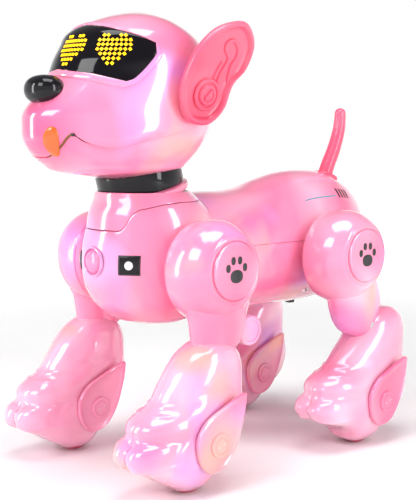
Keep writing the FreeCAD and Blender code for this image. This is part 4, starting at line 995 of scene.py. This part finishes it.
def make_link(leg, end, mirror):
    rings = LINK_RINGS[end]
    flat = upright(rings)
    turn = np.linspace(-180, 180, 64, endpoint=False)[None, :]
    up = np.linspace(rings[0][0], rings[-1][0], 36)[:, None]
    points = flat(up + 0 * turn, turn + 0 * up)
    points[..., 0] += LEG_MIDDLE
    link = grid_piece(f"{leg}_link_stub", points, poles=(True, True), mirror=mirror)
    finish_piece(link, f"{leg}_knee_link", pearl, replaced=[f"{leg}_knee_link"])
    if end == "front":
        barrel = [(8.4, -8.6), (9.1, -7.9), (9.1, 7.9), (8.4, 8.6), (6.9, 8.6), (6.4, 8.1), (0.4, 8.1)]
        knob = lathe(f"{leg}_link_knob", barrel, KNOB_MIDDLE, OUT, BACK, 48, mirror, (True, True))
        finish_piece(knob, f"{leg}_knee_link", pearl)


def make_pins(leg, end, mirror):
    """The knee's pin and the wheel's axle, which stop inside the boot."""
    low, high = corner(f"left_{end}_boot_pins")
    wheel_low, wheel_high = corner(f"left_{end}_wheel")
    axle = (wheel_low + wheel_high) / 2
    knee = (LEG_MIDDLE, high[1] - KNEE_PIN, high[2] - KNEE_PIN)
    pins = []
    for centre, radius, half in ((knee, KNEE_PIN, 11.0), ((LEG_MIDDLE, *axle[1:]), AXLE_PIN, 17.0)):
        rod = [(radius, -half), (radius, half)]
        pins.append(lathe("pin", rod, centre, OUT, BACK, 32, mirror, (True, True)))
    finish_piece(join_pieces(f"{leg}_pins", pins), f"{leg}_boot_pins", steel, replaced=[f"{leg}_boot_pins"])


BORE = AXLE_PIN + 0.1


def make_wheel(leg, mirror):
    low, high = corner(f"{leg}_wheel")
    middle, radius, half = (low + high) / 2, (high[2] - low[2]) / 2, (high[0] - low[0]) / 2
    if mirror:
        middle[0] *= -1
    shape = [(BORE, -half), (radius - 4, -half), (radius - 1.6, -half + 0.6), (radius - 0.5, -half + 2)]
    for groove in (-4.2, 0.0, 4.2):
        shape += [(radius, groove - 1.2), (radius - 0.7, groove - 0.4)]
        shape += [(radius - 0.7, groove + 0.4), (radius, groove + 1.2)]
    shape += [(radius - 0.5, half - 2), (radius - 1.6, half - 0.6), (radius - 4, half)]
    shape += [(BORE, half), (BORE, -half)]
    wheel = lathe(f"{leg}_tyre", shape, middle, (1, 0, 0), (0, 1, 0), 96, mirror)
    finish_piece(wheel, f"{leg}_wheel", tyre, replaced=[f"{leg}_wheel"])


for side in ("left", "right"):
    for end in ("front", "rear"):
        leg, mirror = f"{side}_{end}", side == "right"
        low, high = corner(f"left_{end}_cap")
        make_thigh(leg, (low + high) / 2, mirror)
        make_link(leg, end, mirror)
        make_boot(leg, end, mirror)
        low, high = corner(f"left_{end}_wheel")
        make_covers(leg, (low[1] + high[1]) / 2, mirror)
        make_wheel(leg, mirror)
        make_pins(leg, end, mirror)

# %% [markdown]
# A gloss toy shows the lights as much as itself. Large soft boxes give broad white highlights, a tall
# strip on each side gives the long ones on the boots, and a pale floor fills in from below.

# %% Floor and lights
def soft_box(name, place, aim, size, power):
    """An area light at a place, turned to a point. Metres and watts."""
    light = bpy.data.lights.new(name, "AREA")
    light.shape, light.size, light.size_y, light.energy = "RECTANGLE", size[0], size[1], power
    lamp_object = bpy.data.objects.new(name, light)
    bpy.context.scene.collection.objects.link(lamp_object)
    lamp_object.location = place
    lamp_object.rotation_euler = (Vector(aim) - Vector(place)).to_track_quat("-Z", "Y").to_euler()


MIDDLE = (0.0, 0.0, 0.14)
soft_box("top_box", (0.15, -0.1, 1.1), MIDDLE, (0.7, 0.5), 7.5)
soft_box("key_box", (0.10, -1.1, 0.85), MIDDLE, (0.55, 0.5), 7.5)
soft_box("left_strip", (-0.6, -0.9, 0.35), MIDDLE, (0.16, 0.8), 4.5)
soft_box("right_strip", (1.05, 0.25, 0.45), MIDDLE, (0.22, 0.8), 5.5)


def link_range(tree, value, start, end, low, high):
    """A node that turns a value between two ends into another between two others."""
    spread = tree.nodes.new("ShaderNodeMapRange")
    spread.interpolation_type = "SMOOTHSTEP"
    for name, number in (("From Min", start), ("From Max", end), ("To Min", low), ("To Max", high)):
        spread.inputs[name].default_value = number
    tree.links.new(value, spread.inputs["Value"])
    return spread.outputs["Result"]


# %% [markdown]
# The room is white at the horizon and dim overhead, so the black parts stay black and the backdrop stays
# white. Far from the toy the floor glows a little, which hides the line where it meets the room.

# %% The room and its floor
world = bpy.data.worlds.new("pale room")
bpy.context.scene.world = world
world.use_nodes = True
room = world.node_tree
sky = room.nodes["Background"]
sky.inputs["Color"].default_value = (1, 1, 1, 1)
place = room.nodes.new("ShaderNodeTexCoord")
parts = room.nodes.new("ShaderNodeSeparateXYZ")
room.links.new(place.outputs["Generated"], parts.inputs["Vector"])
room.links.new(link_range(room, parts.outputs["Z"], 0.22, 0.50, 1.0, 0.28), sky.inputs["Strength"])

bpy.ops.mesh.primitive_plane_add(size=12)
floor = bpy.context.object
floor.name = "floor"
floor_paint, floor_shader = new_finish(
    "pale floor", (0.90, 0.90, 0.90), 0.6, clouds=[((0.92, 0.92, 0.92), 3, 0.4, 0.6)])
tree = floor_paint.node_tree
place = tree.nodes.new("ShaderNodeTexCoord")
reach = tree.nodes.new("ShaderNodeVectorMath")
reach.operation = "LENGTH"
tree.links.new(place.outputs["Object"], reach.inputs[0])
floor_shader.inputs["Emission Color"].default_value = (1, 1, 1, 1)
glow = link_range(tree, reach.outputs["Value"], 0.30, 1.3, 0.0, 0.8)
tree.links.new(glow, floor_shader.inputs["Emission Strength"])
floor.data.materials.append(floor_paint)
bpy.context.scene.view_settings.view_transform = "Standard"

# %% Camera
camera_data = bpy.data.cameras.new("camera")
camera = bpy.data.objects.new("camera", camera_data)
bpy.context.scene.collection.objects.link(camera)
camera.location = (0.5135, -0.4644, 0.2074)
target = Vector((-0.001, 0.0005, 0.1321))
camera.rotation_euler = (target - camera.location).to_track_quat("-Z", "Y").to_euler()
camera_data.sensor_width = 36
camera_data.lens = 75.74
camera_data.clip_start = 0.01
bpy.context.scene.camera = camera
